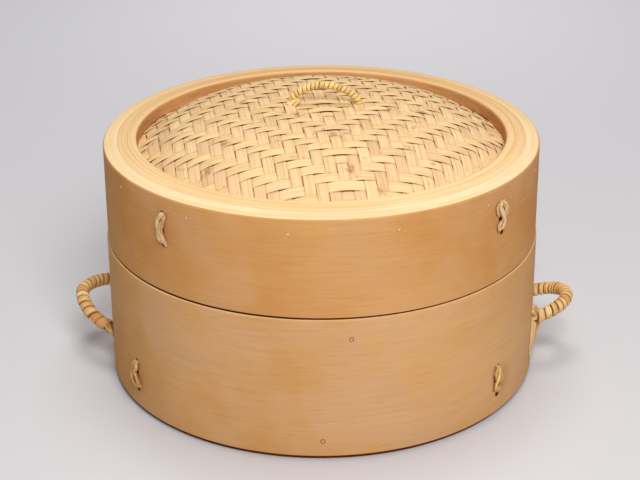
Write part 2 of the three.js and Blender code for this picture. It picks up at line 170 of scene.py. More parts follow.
class EffectGroup(Tree):
    """A shared shader node group while it is made, with plain numbers as its sockets."""

    def __init__(self, name: str, inputs: dict[str, float], *outputs: str) -> None:
        """Makes the group with its sockets.

        Args:
            name: The group's name.
            inputs: The inputs' names with their usual values.
            *outputs: The outputs' names.
        """
        super().__init__(bpy.data.node_groups.new(name, "ShaderNodeTree"))
        sides = {**dict.fromkeys(inputs, "INPUT"), **dict.fromkeys(outputs, "OUTPUT")}
        for label, side in sides.items():
            socket = self.tree.interface.new_socket(name=label, in_out=side, socket_type="NodeSocketFloat")
            socket.default_value = inputs.get(label, 0.0)
        self.into = self.tree.nodes.new("NodeGroupInput").outputs
        self.ends = self.tree.nodes.new("NodeGroupOutput").inputs

    def finish(self, *values: Socket) -> bpy.types.NodeTree:
        """Wires the outputs.

        Args:
            *values: What each of them puts out, in their order.

        Returns:
            The finished group.
        """
        for end, value in zip(self.ends, values):
            self.tree.links.new(value, end)
        return self.tree


@cache
def hoop_grain() -> bpy.types.NodeTree:
    """Makes grain that runs round a hoop, on its walls, its rim and the rounding between them.

    Returns:
        A group that puts out fine fibres, broad bands, dark flecks, soft clouds and how far back it is,
        which drives painted shade on the rims.
    """
    inputs = {"Round": 6.0, "Cross": 900.0, "Bands": 70.0}
    tree = EffectGroup("hoop_grain", inputs, "Fibre", "Band", "Fleck", "Cloud", "Back")
    place = tree.place()
    x, y, z = tree.parts(place)
    radius = tree.math("SQRT", tree.math("ADD", tree.math("POWER", x, 2.0), tree.math("POWER", y, 2.0)))
    across = tree.math("ADD", z, radius)
    along = [tree.times(part, tree.into["Round"]) for part in (x, y)]
    crossed = tree.times(across, tree.into["Cross"])
    banded = tree.times(across, tree.into["Bands"])
    dashes = [tree.times(part, 20.0) for part in along]
    return tree.finish(
        tree.noise(tree.vector(*along, crossed), 3.0, 0.65),
        tree.noise(tree.vector(*along, banded), 2.0, 0.5),
        tree.spread(tree.noise(tree.vector(*dashes, crossed), 1.0, 0.5), 0.68, 0.8),
        tree.noise(tree.scaled(place, 9.0), 3.0, 0.55),
        # How far back, for the rims' painted shade towards the back.
        y,
    )


@cache
def strip_fibre() -> bpy.types.NodeTree:
    """Makes fibre along a split strip, from the place and number that its mesh carries.

    Returns:
        A group that puts out fine fibres, a tone for the strip, a tone that drifts along it, the
        share from the strip's middle to its edge, and how far it has browned, plus painted shade where
        weave strips dip.
    """
    inputs = {"Along": 40.0, "Across": 1800.0}
    tree = EffectGroup("strip_fibre", inputs, "Fibre", "Tone", "Drift", "Edge", "Age")
    along, across, number = tree.parts(tree.attribute("fibre", "Vector"))
    start = tree.times(number, 97.0)
    shifted = tree.math("ADD", tree.times(along, tree.into["Along"]), start)
    fine = tree.vector(shifted, tree.times(across, tree.into["Across"]), number)
    slow = tree.vector(tree.times(shifted, 0.6), number, 3.0)
    return tree.finish(
        tree.noise(fine, 3.0, 0.6),
        tree.node("TexWhiteNoise", {"W": number}, noise_dimensions="1D").outputs["Value"],
        tree.noise(slow, 2.0, 0.5),
        tree.attribute("edge"),
        tree.attribute("age"),
    )


@cache
def stains() -> bpy.types.NodeTree:
    """Makes small scattered stains.

    Returns:
        A group that puts out one mask, which is 1 in the middle of a stain.
    """
    tree = EffectGroup("stains", {"Size": 60.0, "Sparse": 0.68, "Soft": 0.08}, "Mask")
    value = tree.noise(tree.scaled(tree.place(), tree.into["Size"]), 4.0, 0.6)
    top = tree.math("ADD", tree.into["Sparse"], tree.into["Soft"])
    return tree.finish(tree.spread(value, tree.into["Sparse"], top))


@dataclass(frozen=True)
class Finish:
    """What every finish has: a name, a roughness, a gloss and a depth of relief in metres."""

    name: str
    rough: float = 0.6
    gloss: float = 0.04
    depth: float = 0.00006

    def paint(self, tree: Tree) -> tuple[Socket, Socket]:
        """Returns the colour and the relief's height."""
        raise NotImplementedError

    @cache
    def material(self) -> bpy.types.Material:
        """Makes the material when it is first asked for.

        Returns:
            The material.
        """
        material = bpy.data.materials.new(self.name)
        material.use_nodes = True
        tree = Tree(material.node_tree)
        shader = material.node_tree.nodes["Principled BSDF"].inputs
        shader["Roughness"].default_value = self.rough
        shader["Specular IOR Level"].default_value = self.gloss
        colour, height = self.paint(tree)
        bump = tree.node("Bump", {"Height": height, "Strength": 1.0, "Distance": self.depth})
        tree.tree.links.new(colour, shader["Base Color"])
        tree.tree.links.new(bump.outputs[0], shader["Normal"])
        return material


@dataclass(frozen=True)
class BentWood(Finish):
    """Steam-bent wood with its grain round the hoop, a paler planed rim, rubbed marks, and painted shade in
    the seam, under the foot and on the rim towards the back.
    """

    rough: float = 0.7
    dark: Colour = tint("ce9254")
    light: Colour = tint("e0aa6c")
    cool: Colour = tint("d4a070")
    bare: Colour = tint("f9e3b4")
    # Painted shade: the bare rim's colour towards the back.
    bare_line: Colour = tint("eabc7e")
    bare_back_shade: Colour = tint("e0b078")
    fleck: Colour = tint("a86c3c")
    # Painted shade for the stripe in the seam under the lid and for the step under the foot.
    seam_and_foot_shade: Colour = tint("7a380a")
    rub: Colour = tint("b06038")
    rubs: tuple[Spot, ...] = ()
    rub_size: float = 0.015
    line_share: float = 0.15

    def paint(self, tree: Tree) -> tuple[Socket, Socket]:
        """Paints the wall and over it the bare rim, darker towards the back as painted shade, and the
        painted shade in the seam and under the foot.

        Args:
            tree: The material's tree.

        Returns:
            The colour and the relief's height.
        """
        grain = tree.group(hoop_grain())
        lines = tree.group(hoop_grain(), Round=36.0, Cross=820.0, Bands=330.0)
        rings = tree.group(hoop_grain(), Round=9.0, Cross=1100.0, Bands=620.0)
        patches = tree.group(stains(), Size=18.0, Sparse=0.42, Soft=0.2)
        wall = tree.mix(tree.spread(grain["Cloud"], 0.35, 0.65), self.dark, self.light)
        wall = tree.mix(tree.spread(grain["Band"], 0.35, 0.75, 0.35), wall, self.dark)
        wall = tree.mix(tree.times(patches["Mask"], 0.75), wall, self.cool)
        wall = tree.mix(tree.spread(lines["Fibre"], 0.44, 0.66, self.line_share), wall, self.fleck)
        wall = tree.mix(tree.times(lines["Fleck"], 0.22), wall, self.fleck)
        for spot in self.rubs:
            wall = tree.mix(self.rubbed(tree, grain["Cloud"], spot), wall, self.rub)
        rim = tree.mix(tree.spread(rings["Band"], 0.52, 0.66, 0.4), self.bare, self.bare_line)
        rim = tree.mix(tree.spread(rings["Fibre"], 0.48, 0.64, 0.5), rim, self.bare_line)
        rim = tree.mix(tree.spread(grain["Cloud"], 0.45, 0.8, 0.35), rim, self.bare_line)
        # Painted shade: the rim darkens towards the back.
        rim = tree.mix(tree.spread(grain["Back"], -0.13, 0.17, 0.65), rim, self.bare_back_shade)
        bare = tree.attribute("bare")
        colour = tree.mix(tree.spread(bare, 0.0, 1.0), wall, rim)
        # Painted shade where the bare value is below 0: the stripe in the seam and the step under the foot.
        colour = tree.mix(tree.spread(bare, 0.0, -1.0), colour, self.seam_and_foot_shade)
        return colour, tree.math("ADD", lines["Fibre"], rings["Fibre"])

    def rubbed(self, tree: Tree, cloud: Socket, spot: Spot) -> Socket:
        """Masks the rubbed wood round a stitch.

        Args:
            tree: The material's tree.
            cloud: Soft noise that breaks up the mask's edge.
            spot: The middle of the mark, in metres.

        Returns:
            The mask.
        """
        away = tree.node("VectorMath", {0: tree.place(), 1: spot}, operation="DISTANCE").outputs["Value"]
        near = tree.spread(away, self.rub_size, self.rub_size * 0.3, 0.4)
        return tree.times(near, tree.spread(cloud, 0.3, 0.7))


@dataclass(frozen=True)
class SplitStrip(Finish):
    """Split bamboo or cane: fibres along it, a tone of its own for each strip, edges darkened as painted
    shade where strips and turns meet.
    """

    tones: tuple[Colour, ...] = (tint("f0ce9e"),) * 3
    # Colour of the fibre lines and of the painted shade along the edges.
    line: Colour = tint("cea068")
    # Browned parts; on the weave also painted shade where a strip dips under the others.
    old: Colour = tint("966032")
    stain: Colour = tint("8c5a32")
    line_share: float = 0.5
    edge_shade: float = 0.35
    edge_from: float = 0.8
    stain_share: float = 0.5
    along: float = 40.0
    across: float = 1800.0

    def paint(self, tree: Tree) -> tuple[Socket, Socket]:
        """Paints the strip's own tone and over it its fibres, the painted shade at its edges, its browning
        and stains.

        Args:
            tree: The material's tree.

        Returns:
            The colour and the relief's height.
        """
        fibre = tree.group(strip_fibre(), Along=self.along, Across=self.across)
        spots = tree.group(stains(), Size=66.0, Sparse=0.61, Soft=0.08)
        first, second, third = self.tones
        colour = tree.mix(tree.spread(fibre["Tone"], 0.35, 0.6), first, second)
        colour = tree.mix(tree.spread(fibre["Drift"], 0.42, 0.66), colour, third)
        colour = tree.mix(tree.spread(fibre["Fibre"], 0.46, 0.64, self.line_share), colour, self.line)
        # Painted shade along the edges, where strips and turns meet.
        edge = tree.spread(fibre["Edge"], self.edge_from, 1.0, self.edge_shade)
        colour = tree.mix(edge, colour, self.line)
        # Browning, and on the weave also painted shade where a strip dips under the others.
        colour = tree.mix(fibre["Age"], colour, self.old)
        colour = tree.mix(tree.times(spots["Mask"], self.stain_share), colour, self.stain)
        return colour, fibre["Fibre"]


@dataclass(frozen=True)
class HoleShade(Finish):
    """The inside of a bored hole, painted dark brown as shade; the shallow grooves under the stitches take
    it too.
    """

    gloss: float = 0.0
    colour: Colour = tint("7e4822")
    deep: Colour = tint("5c3216")

    def paint(self, tree: Tree) -> tuple[Socket, Socket]:
        """Returns the colour and the relief's height."""
        fibre = tree.group(hoop_grain())["Fibre"]
        return tree.mix(fibre, self.colour, self.deep), fibre


@dataclass(frozen=True)
class FloorPaint(Finish):
    """The studio floor's paint, with soft clouds."""

    colour: Colour = tint("d3d1d3")
    paler: float = 1.03

    def paint(self, tree: Tree) -> tuple[Socket, Socket]:
        """Paints the clouds.

        Args:
            tree: The material's tree.

        Returns:
            The colour and the relief's height.
        """
        cloud = tree.noise(tree.place(), 1.0, 0.4)
        pale = tuple(min(value * self.paler, 1.0) for value in self.colour)
        return tree.mix(cloud, self.colour, pale), cloud


def split(name: str, *colours: str, **more: float) -> SplitStrip:
    """Describes a split strip's finish.

    Args:
        name: The finish's name.
        *colours: The codes of its three tones, its fibre lines and painted edge shade, and its browned
                  parts, which on the weave also paint shade in the dips.
        **more: Its other values.

    Returns:
        The finish.
    """
    *tones, line, old = (tint(code) for code in colours)
    return SplitStrip(name, tones=tuple(tones), line=line, old=old, **more)


# The inner hoops' wood; its bare rim darkens towards the back as painted shade.
INSIDE_WOOD = BentWood(
    "inside_wood", dark=tint("c2915e"), light=tint("d5a772"), bare=tint("f7d5a0"),
    bare_line=tint("deac6e"), bare_back_shade=tint("d6a46c"), fleck=tint("966032"), line_share=0.4,
)
ACROSS_BAMBOO = split(
    "weave_across", "f3d19e", "edc595", "f4d59a", "be864c", "925a28",
    line_share=0.34, edge_shade=0.45, along=18.0, across=900.0, depth=0.0001,
)
ALONG_BAMBOO = split(
    "weave_along", "f1cc9a", "f4d39e", "eac194", "be8450", "925a28",
    line_share=0.4, edge_shade=0.4, along=14.0, across=900.0, depth=0.0001,
)
# The leaf lining is dark brown to paint the shade in the slits of the weave.
LEAF_AND_SLIT_SHADE = split(
    "leaf_lining_slit_shade", "70441c", "7c4e22", "603a18", "4c2c12", "543418",
    along=20.0, across=700.0,
)
SLAT_BAMBOO = split(
    "slat_bamboo", "deb87e", "e8c488", "d2aa70", "b0824e", "96683c",
    along=25.0, across=1500.0,
)
PEEL = split(
    "rattan_peel", "f0c88a", "fad89e", "deac6c", "784216", "c4804a",
    edge_shade=1.0, edge_from=0.7, stain_share=0.3, along=60.0, across=1300.0, rough=0.45,
)
ARCH_PEEL = split(
    "arch_peel", "fada90", "fee29c", "f0c87c", "8c541c", "be823e",
    edge_shade=0.7, edge_from=0.8, stain_share=0.25, along=60.0, across=1800.0, rough=0.45,
)
# Dark brown core: partly the cane's own colour, partly painted shade in the gaps between the turns.
CORE_AND_GAP_SHADE = split("cane_core", "966230", "a06c38", "885628", "6e421c", "784e28")
STITCH_LAY = {
    "edge_shade": 0.9, "edge_from": 0.84, "line_share": 0.6,
    "along": 70.0, "across": 1100.0, "depth": 0.0003,
}
STITCH_CANE = split(
    "stitch_cane", "f0ca96", "f8d4a0", "e2b680", "7a461a", "be8a54",
    **STITCH_LAY,
)
OLD_STITCH_CANE = split(
    "old_stitch_cane", "eec27c", "f8d08e", "e2ae6a", "6e3c14", "b07840",
    **STITCH_LAY,
)
PEG_END = split(
    "peg_end", "e8be88", "e2b67e", "ecc490", "ba8650", "aa7642",
    gloss=0.1, edge_shade=0.4,
)
OLD_PEG_END = split(
    "old_peg_end", "d6a46a", "ce9a60", "dcaa70", "9c6836", "8c5a2e",
    gloss=0.1, edge_shade=0.7,
)
# Dark brown painted shade for the insides of holes and grooves.
HOLE_SHADE = HoleShade("hole_shade", rough=0.9)


def link(name: str, data: bpy.types.ID) -> bpy.types.Object:
    """Makes an object and links it into the scene.

    Args:
        name: The object's name.
        data: Its mesh, light or camera.

    Returns:
        The object.
    """
    thing = bpy.data.objects.new(name, data)
    bpy.context.scene.collection.objects.link(thing)
    return thing


@dataclass
class Form:
    """Vertices, faces and what they carry, while one mesh is put together in millimetres."""

    points: list[Vector] = field(default_factory=list)
    faces: list[list[int]] = field(default_factory=list)
    fibres: list[Spot] = field(default_factory=list)
    values: dict[str, list[float]] = field(default_factory=dict)

    def add(self, point: Vector, fibre: Spot = (0, 0, 0), **values: float) -> None:
        """Adds a vertex.

        Args:
            point: Where it is.
            fibre: Its place along and across the strip in millimetres, and the strip's number.
            **values: Further numbers that it carries.
        """
        self.points.append(point)
        self.fibres.append((fibre[0] * MM, fibre[1] * MM, fibre[2]))
        for label, value in values.items():
            self.values.setdefault(label, []).append(value)

    def join(self, rings: int, sides: int, closed: bool = False) -> None:
        """Adds the faces between the last rings of vertices, and caps both ends unless they meet.

        Args:
            rings: How many rings.
            sides: Vertices in each ring.
            closed: Whether the last ring meets the first.
        """
        first = len(self.points) - rings * sides
        for ring in range(rings if closed else rings - 1):
            here = first + ring * sides
            onward = first + (ring + 1) % rings * sides
            for side in range(sides):
                beside = (side + 1) % sides
                self.faces.append([here + side, here + beside, onward + beside, onward + side])
        if not closed:
            last = first + (rings - 1) * sides
            self.faces.append([first + side for side in reversed(range(sides))])
            self.faces.append([last + side for side in range(sides)])

    def thread(
        self, line: Sequence[Vector], out: Vector, wide: Callable[[float], float], thick: float,
        number: float, age: float = 0.0, sides: int = 12,
    ) -> None:
        """Adds a strand with an oval section.

        Args:
            line: The points that its middle follows.
            out: The way that its flat side faces.
            wide: Half its width at a share of its length.
            thick: Half its thickness as a share of half its width.
            number: Its number.
            age: How far it has browned.
            sides: Vertices round it.
        """
        along = 0.0
        for index, place in enumerate(line):
            before = line[max(index - 1, 0)]
            ahead = (line[min(index + 1, len(line) - 1)] - before).normalized()
            beside = ahead.cross(out).normalized()
            lift = beside.cross(ahead).normalized()
            size = wide(index / (len(line) - 1))
            along += (place - before).length
            for corner in range(sides):
                turn = tau * corner / sides
                spoke = beside * cos(turn) + lift * sin(turn) * thick
                fibre = (along, turn * size, number)
                self.add(place + spoke * size, fibre, edge=abs(cos(turn)), age=age)
        self.join(len(line), sides)

    def build(self, name: str, finish: Finish, sharp: float = 60.0) -> bpy.types.Object:
        """Makes the object.

        Args:
            name: The object's name.
            finish: Its finish.
            sharp: The angle in degrees over which an edge stays sharp.

        Returns:
            The object, linked into the scene.
        """
        mesh = bpy.data.meshes.new(name)
        mesh.from_pydata([tuple(point * MM) for point in self.points], [], self.faces)
        mesh.materials.append(finish.material())
        mesh.polygons.foreach_set("use_smooth", [True] * len(mesh.polygons))
        layer = mesh.attributes.new("fibre", "FLOAT_VECTOR", "POINT")
        layer.data.foreach_set("vector", [number for row in self.fibres for number in row])
        for label, numbers in self.values.items():
            mesh.attributes.new(label, "FLOAT", "POINT").data.foreach_set("value", numbers)
        mesh.set_sharp_from_angle(angle=radians(sharp))
        return link(name, mesh)


def clamp(value: float, low: float = 0.0, high: float = 1.0) -> float:
    """Keeps a value between two limits."""
    return min(max(value, low), high)


def on_wall(azimuth: float, radius: float, z: float) -> Vector:
    """Returns the point at an azimuth in degrees from the front towards +X."""
    angle = radians(azimuth)
    return Vector((radius * sin(angle), -radius * cos(angle), z))


def ways_from_wall(azimuth: float) -> tuple[Vector, Vector]:
    """Returns the way out of the wall and the way along it at an azimuth in degrees."""
    angle = radians(azimuth)
    return Vector((sin(angle), -cos(angle), 0)), Vector((cos(angle), sin(angle), 0))


def smooth_line(points: Sequence[Vector], steps: int = 8) -> list[Vector]:
    """Rounds a line through a few points.

    Args:
        points: The points that it passes through.
        steps: Steps between each two of them.

    Returns:
        The points of the rounded line.
    """
    line = []
    for index in range(len(points) - 1):
        before, start, end = points[max(index - 1, 0)], points[index], points[index + 1]
        after = points[min(index + 2, len(points) - 1)]
        for step in range(steps):
            t = step / steps
            bend = (end - before) * t + (2 * before - 5 * start + 4 * end - after) * t * t
            line.append(start + (bend + (3 * start - before - 3 * end + after) * t**3) / 2)
    return [*line, points[-1]]


@dataclass
class SubAssembly:
    """A group of pieces that ride on one body."""

    body: Body

    def add(self, kind: type[SubAssembly], *sizes: object, **more: object) -> None:
        """Builds a smaller group of pieces on the same body."""
        kind(self.body, *sizes, **more).build()

    def place(self, piece: bpy.types.Object, slot: Slot, node: str) -> None:
        """Sets a piece on its body, in the place of a CAD node.

        Args:
            piece: The finished piece.
            slot: The record's material slot; not used.
            node: The CAD node that it stands for.
        """
        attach(piece, self.body.value)
        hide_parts(node)
        log.info("%s: %d faces", piece.name, len(piece.data.polygons))


@dataclass
class Hole:
    """An oval hole bored through a hoop towards its axis, in millimetres and degrees."""

    azimuth: float
    z: float
    wide: float
    high: float
    depth: float


@dataclass
class Hoop(SubAssembly):
    """A bent hoop with rounded edges, a bare rim, bored holes and, where asked, painted shade on a stripe
    of its top and a step under its foot, in millimetres.
    """

    name: str
    node: str
    bore: float
    radius: float
    bottom: float
    top: float
    bore_top: float | None = None
    bottom_round: float = 0.6
    top_round: float = 0.3
    bore_round: float = 0.3
    foot_round: float = 0.3
    bare_top: bool = False
    bare_edge: float = 1.0
    # A step under the foot, painted with shade.
    step_in: float = 0.0
    step_up: float = 0.0
    # A stripe of painted shade on the top, where the seam under the lid lies.
    dark_top: bool = False
    dark_stripe: Three = (0.5, 3.2, 3.8)
    dark_rim: float = 0.4
    finish: BentWood = INSIDE_WOOD
    holes: list[Hole] = field(default_factory=list)
    notches: list[tuple[Vector, Vector]] = field(default_factory=list)
    high_front: float = 0.0
    low_rise: Callable[[float], float] = lambda azimuth: 0.0
    segments: int = 256
    corner_steps: int = 6
    corner_share: float = 0.6
    wall_rows: int = 6
    hole_sides: int = 20
    blend_from: float = 0.8
    facing_from: float = 0.97
    off_most: float = 0.25

    def profile(self) -> list[Spot]:
        """Lays out the section, counter-clockwise with the wall's outside on the right.

        Returns:
            Its points as radius, height and how bare the wood is there; a value below 0 paints shade.
        """
        points: list[Spot] = []

        def corner(r: float, z: float, size: float, start: int, before: float, after: float) -> None:
            """Adds one rounded corner.

            Args:
                r: Its middle's radius.
                z: Its middle's height.
                size: Its own radius.
                start: The number of the quarter turn where it starts.
                before: How bare the wood is in its first part.
                after: How bare it is in the rest.
            """
            for step in range(self.corner_steps + 1):
                angle = (start + step / self.corner_steps) * pi / 2
                bare = before if step < self.corner_steps * self.corner_share else after
                points.append((r + size * cos(angle), z + size * sin(angle), bare))

        def side(r: float, start: float, end: float) -> None:
            """Adds the points inside an upright side."""
            for step in range(1, self.wall_rows):
                points.append((r, start + step / self.wall_rows * (end - start), 0.0))

        rim = 1.0 if self.bare_top else 0.0
        bore_top = self.top if self.bore_top is None else self.bore_top
        low, up, inner, foot = self.bottom_round, self.top_round, self.bore_round, self.foot_round
        low_z = self.bottom + self.step_up + low
        # The step under the foot is painted with shade.
        if self.step_up:
            points += [(self.radius - self.step_in, self.bottom + rise, -1.0) for rise in (0, self.step_up)]
        corner(self.radius - low, low_z, low, -1, -1.0 if self.step_up else 0.0, 0.0)
        side(self.radius, low_z, self.top - up)
        corner(self.radius - up, self.top - up, up, 0, 0.0, rim * self.bare_edge)
        # A stripe of painted shade where the seam under the lid lies; inward of it the top is only partly
        # bare.
        if self.dark_top:
            rim = self.dark_rim
            for inward, bare in zip(self.dark_stripe, (-1.0, -1.0, rim)):
                points.append((self.radius - up - inward, self.top, bare))
        corner(self.bore + inner, bore_top - inner, inner, 1, rim, 0.0)
        side(self.bore, bore_top - inner, self.bottom + foot)
        corner(self.bore + foot, self.bottom + foot, foot, 2, 0.0, 0.0)
        return points

    def shifts(self, azimuth: float) -> Span:
        """Returns how far the lower and the upper edge lie off their even height at an azimuth."""
        return self.low_rise(azimuth), self.high_front * cos(radians(azimuth))

    def build(self) -> None:
        """Makes the hoop and places it."""
        profile = self.profile()
        form = Form()
        for step in range(self.segments):
            azimuth = 360 * step / self.segments
            low, high = self.shifts(azimuth)
            for r, z, bare in profile:
                share = (z - self.bottom) / (self.top - self.bottom)
                form.add(on_wall(azimuth, r, z + low * (1 - share) + high * share), bare=bare)
        form.join(self.segments, len(profile), closed=True)
        hoop = form.build(self.name, self.finish)
        # The second material paints shade in the holes and grooves.
        hoop.data.materials.append(HOLE_SHADE.material())
        if self.holes or self.notches:
            self.carve(hoop)
        self.true_normals(hoop.data, [Vector(point[:2]) for point in profile])
        self.place(hoop, Slot.BENT_WOOD, self.node)

    def carve(self, hoop: bpy.types.Object) -> None:
        """Cuts the holes and notches.

        Args:
            hoop: The hoop to cut.
        """
        tools = bmesh.new()
        for hole in self.holes:
            size = {"radius1": 0.5 * MM, "radius2": 0.5 * MM, "depth": (hole.depth + 2) * MM}
            made = bmesh.ops.create_cone(tools, cap_ends=True, segments=self.hole_sides, **size)
            turn = Matrix.Rotation(radians(hole.azimuth), 4, "Z") @ Matrix.Rotation(pi / 2, 4, "X")
            middle = on_wall(hole.azimuth, self.radius + 1 - hole.depth / 2, hole.z) * MM
            move = Matrix.Translation(middle) @ turn @ Matrix.Diagonal((hole.wide, hole.high, 1, 1))
            bmesh.ops.transform(tools, verts=made["verts"], matrix=move)
        for low, high in self.notches:
            made = bmesh.ops.create_cube(tools, size=1)
            move = Matrix.Translation((low + high) * MM / 2) @ Matrix.Diagonal((*((high - low) * MM), 1))
            bmesh.ops.transform(tools, verts=made["verts"], matrix=move)
        # Every cut face takes the dark hole colour, painted shade, when the hoop has holes.
        for face in tools.faces:
            face.material_index = 1 if self.holes else 0
        mesh = bpy.data.meshes.new("cutter")
        for material in hoop.data.materials:
            mesh.materials.append(material)
        tools.to_mesh(mesh)
        tools.free()
        cutter = link("cutter", mesh)
        cut = hoop.modifiers.new("holes", "BOOLEAN")
        cut.operation = "DIFFERENCE"
        cut.solver = "EXACT"
        cut.object = cutter
        graph = bpy.context.evaluated_depsgraph_get()
        carved = bpy.data.meshes.new_from_object(hoop.evaluated_get(graph))
        hoop.modifiers.clear()
        hoop.data = carved
        bpy.data.objects.remove(cutter)

    def in_section(self, point: Vector) -> Vector:
        """Takes a point of the hoop back to the section.

        Args:
            point: The point in millimetres.

        Returns:
            Its radius, and the height that it would have if the edges were even.
        """
        low, high = self.shifts(degrees(atan2(point.x, -point.y)))
        share = (point.z - self.bottom - low) / (self.top - self.bottom + high - low)
        return Vector((point.xy.length, self.bottom + share * (self.top - self.bottom)))

    def true_normals(self, mesh: bpy.types.Mesh, profile: list[Vector]) -> None:
        """Gives each face that lies on the turned shape the normals of that shape.

        Args:
            mesh: The hoop's mesh.
            profile: Its section in millimetres.
        """
        edges = list(zip(profile, profile[1:] + profile[:1]))
        flats = [Vector((b.y - a.y, a.x - b.x)).normalized() for a, b in edges]
        ends = []
        for index, flat in enumerate(flats):
            beside = [flats[index - 1], flats[(index + 1) % len(flats)]]
            beside = [other if flat.dot(other) > self.blend_from else flat for other in beside]
            ends.append([(flat + other).normalized() if other is not flat else flat for other in beside])

        def share_along(spot: Vector, index: int) -> float:
            """Returns how far along an edge of the section a spot lies."""
            a, b = edges[index]
            return clamp((spot - a).dot(b - a) / max((b - a).length_squared, 1e-9))

        normals: list[Vector] = [UP] * len(mesh.loops)
        for polygon in mesh.polygons:
            middle = polygon.center / MM
            here = self.in_section(middle)
            outward = Vector((middle.x, middle.y, 0)).normalized()
            facing = Vector((polygon.normal.dot(outward), polygon.normal.z))
            best, least = -1, self.off_most
            for index, (a, b) in enumerate(edges):
                if flats[index].dot(facing) < self.facing_from:
                    continue
                away = (a + (b - a) * share_along(here, index) - here).length
                if away < least:
                    best, least = index, away
            for loop in polygon.loop_indices:
                if best < 0:
                    normals[loop] = polygon.normal.copy()
                    continue
                corner = mesh.vertices[mesh.loops[loop].vertex_index].co / MM
                share = share_along(self.in_section(corner), best)
                section = ends[best][0].lerp(ends[best][1], share).normalized()
                normals[loop] = Vector((corner.x, corner.y, 0)).normalized() * section.x + UP * section.y
        mesh.normals_split_custom_set(normals)


@dataclass
class Lath(SubAssembly):
    """A split strip with rounded edges that follows a line of points, in millimetres."""

    name: str
    node: str
    path: list[Vector]
    width: float
    thickness: float
    across: Vector
    number: float
    rounding: float = 0.6

    def section(self) -> list[Span]:
        """Lays out the rounded section.

        Returns:
            Its points as pairs of across and up.
        """
        half, thick, size = self.width / 2, self.thickness / 2, self.rounding
        points = []
        for sx, sy, start in ((1, -1, -90), (1, 1, 0), (-1, 1, 90), (-1, -1, 180)):
            for step in range(3):
                angle = radians(start + step * 45)
                side = sx * (half - size) + size * cos(angle)
                points.append((side, sy * (thick - size) + size * sin(angle)))
        return points

    def build(self) -> None:
        """Makes the strip and places it."""
        section = self.section()
        form = Form()
        along = 0.0
        for index, place in enumerate(self.path):
            before = self.path[max(index - 1, 0)]
            ahead = self.path[min(index + 1, len(self.path) - 1)] - before
            up = ahead.cross(self.across).normalized()
            up = up if up.z > 0 else -up
            along += (place - before).length
            for side, high in section:
                edge = abs(side) / (self.width / 2)
                form.add(place + self.across * side + up * high, (along, side, self.number), edge=edge)
        form.join(len(self.path), len(section))
        self.place(form.build(self.name, SLAT_BAMBOO, sharp=40), Slot.SPLIT, self.node)


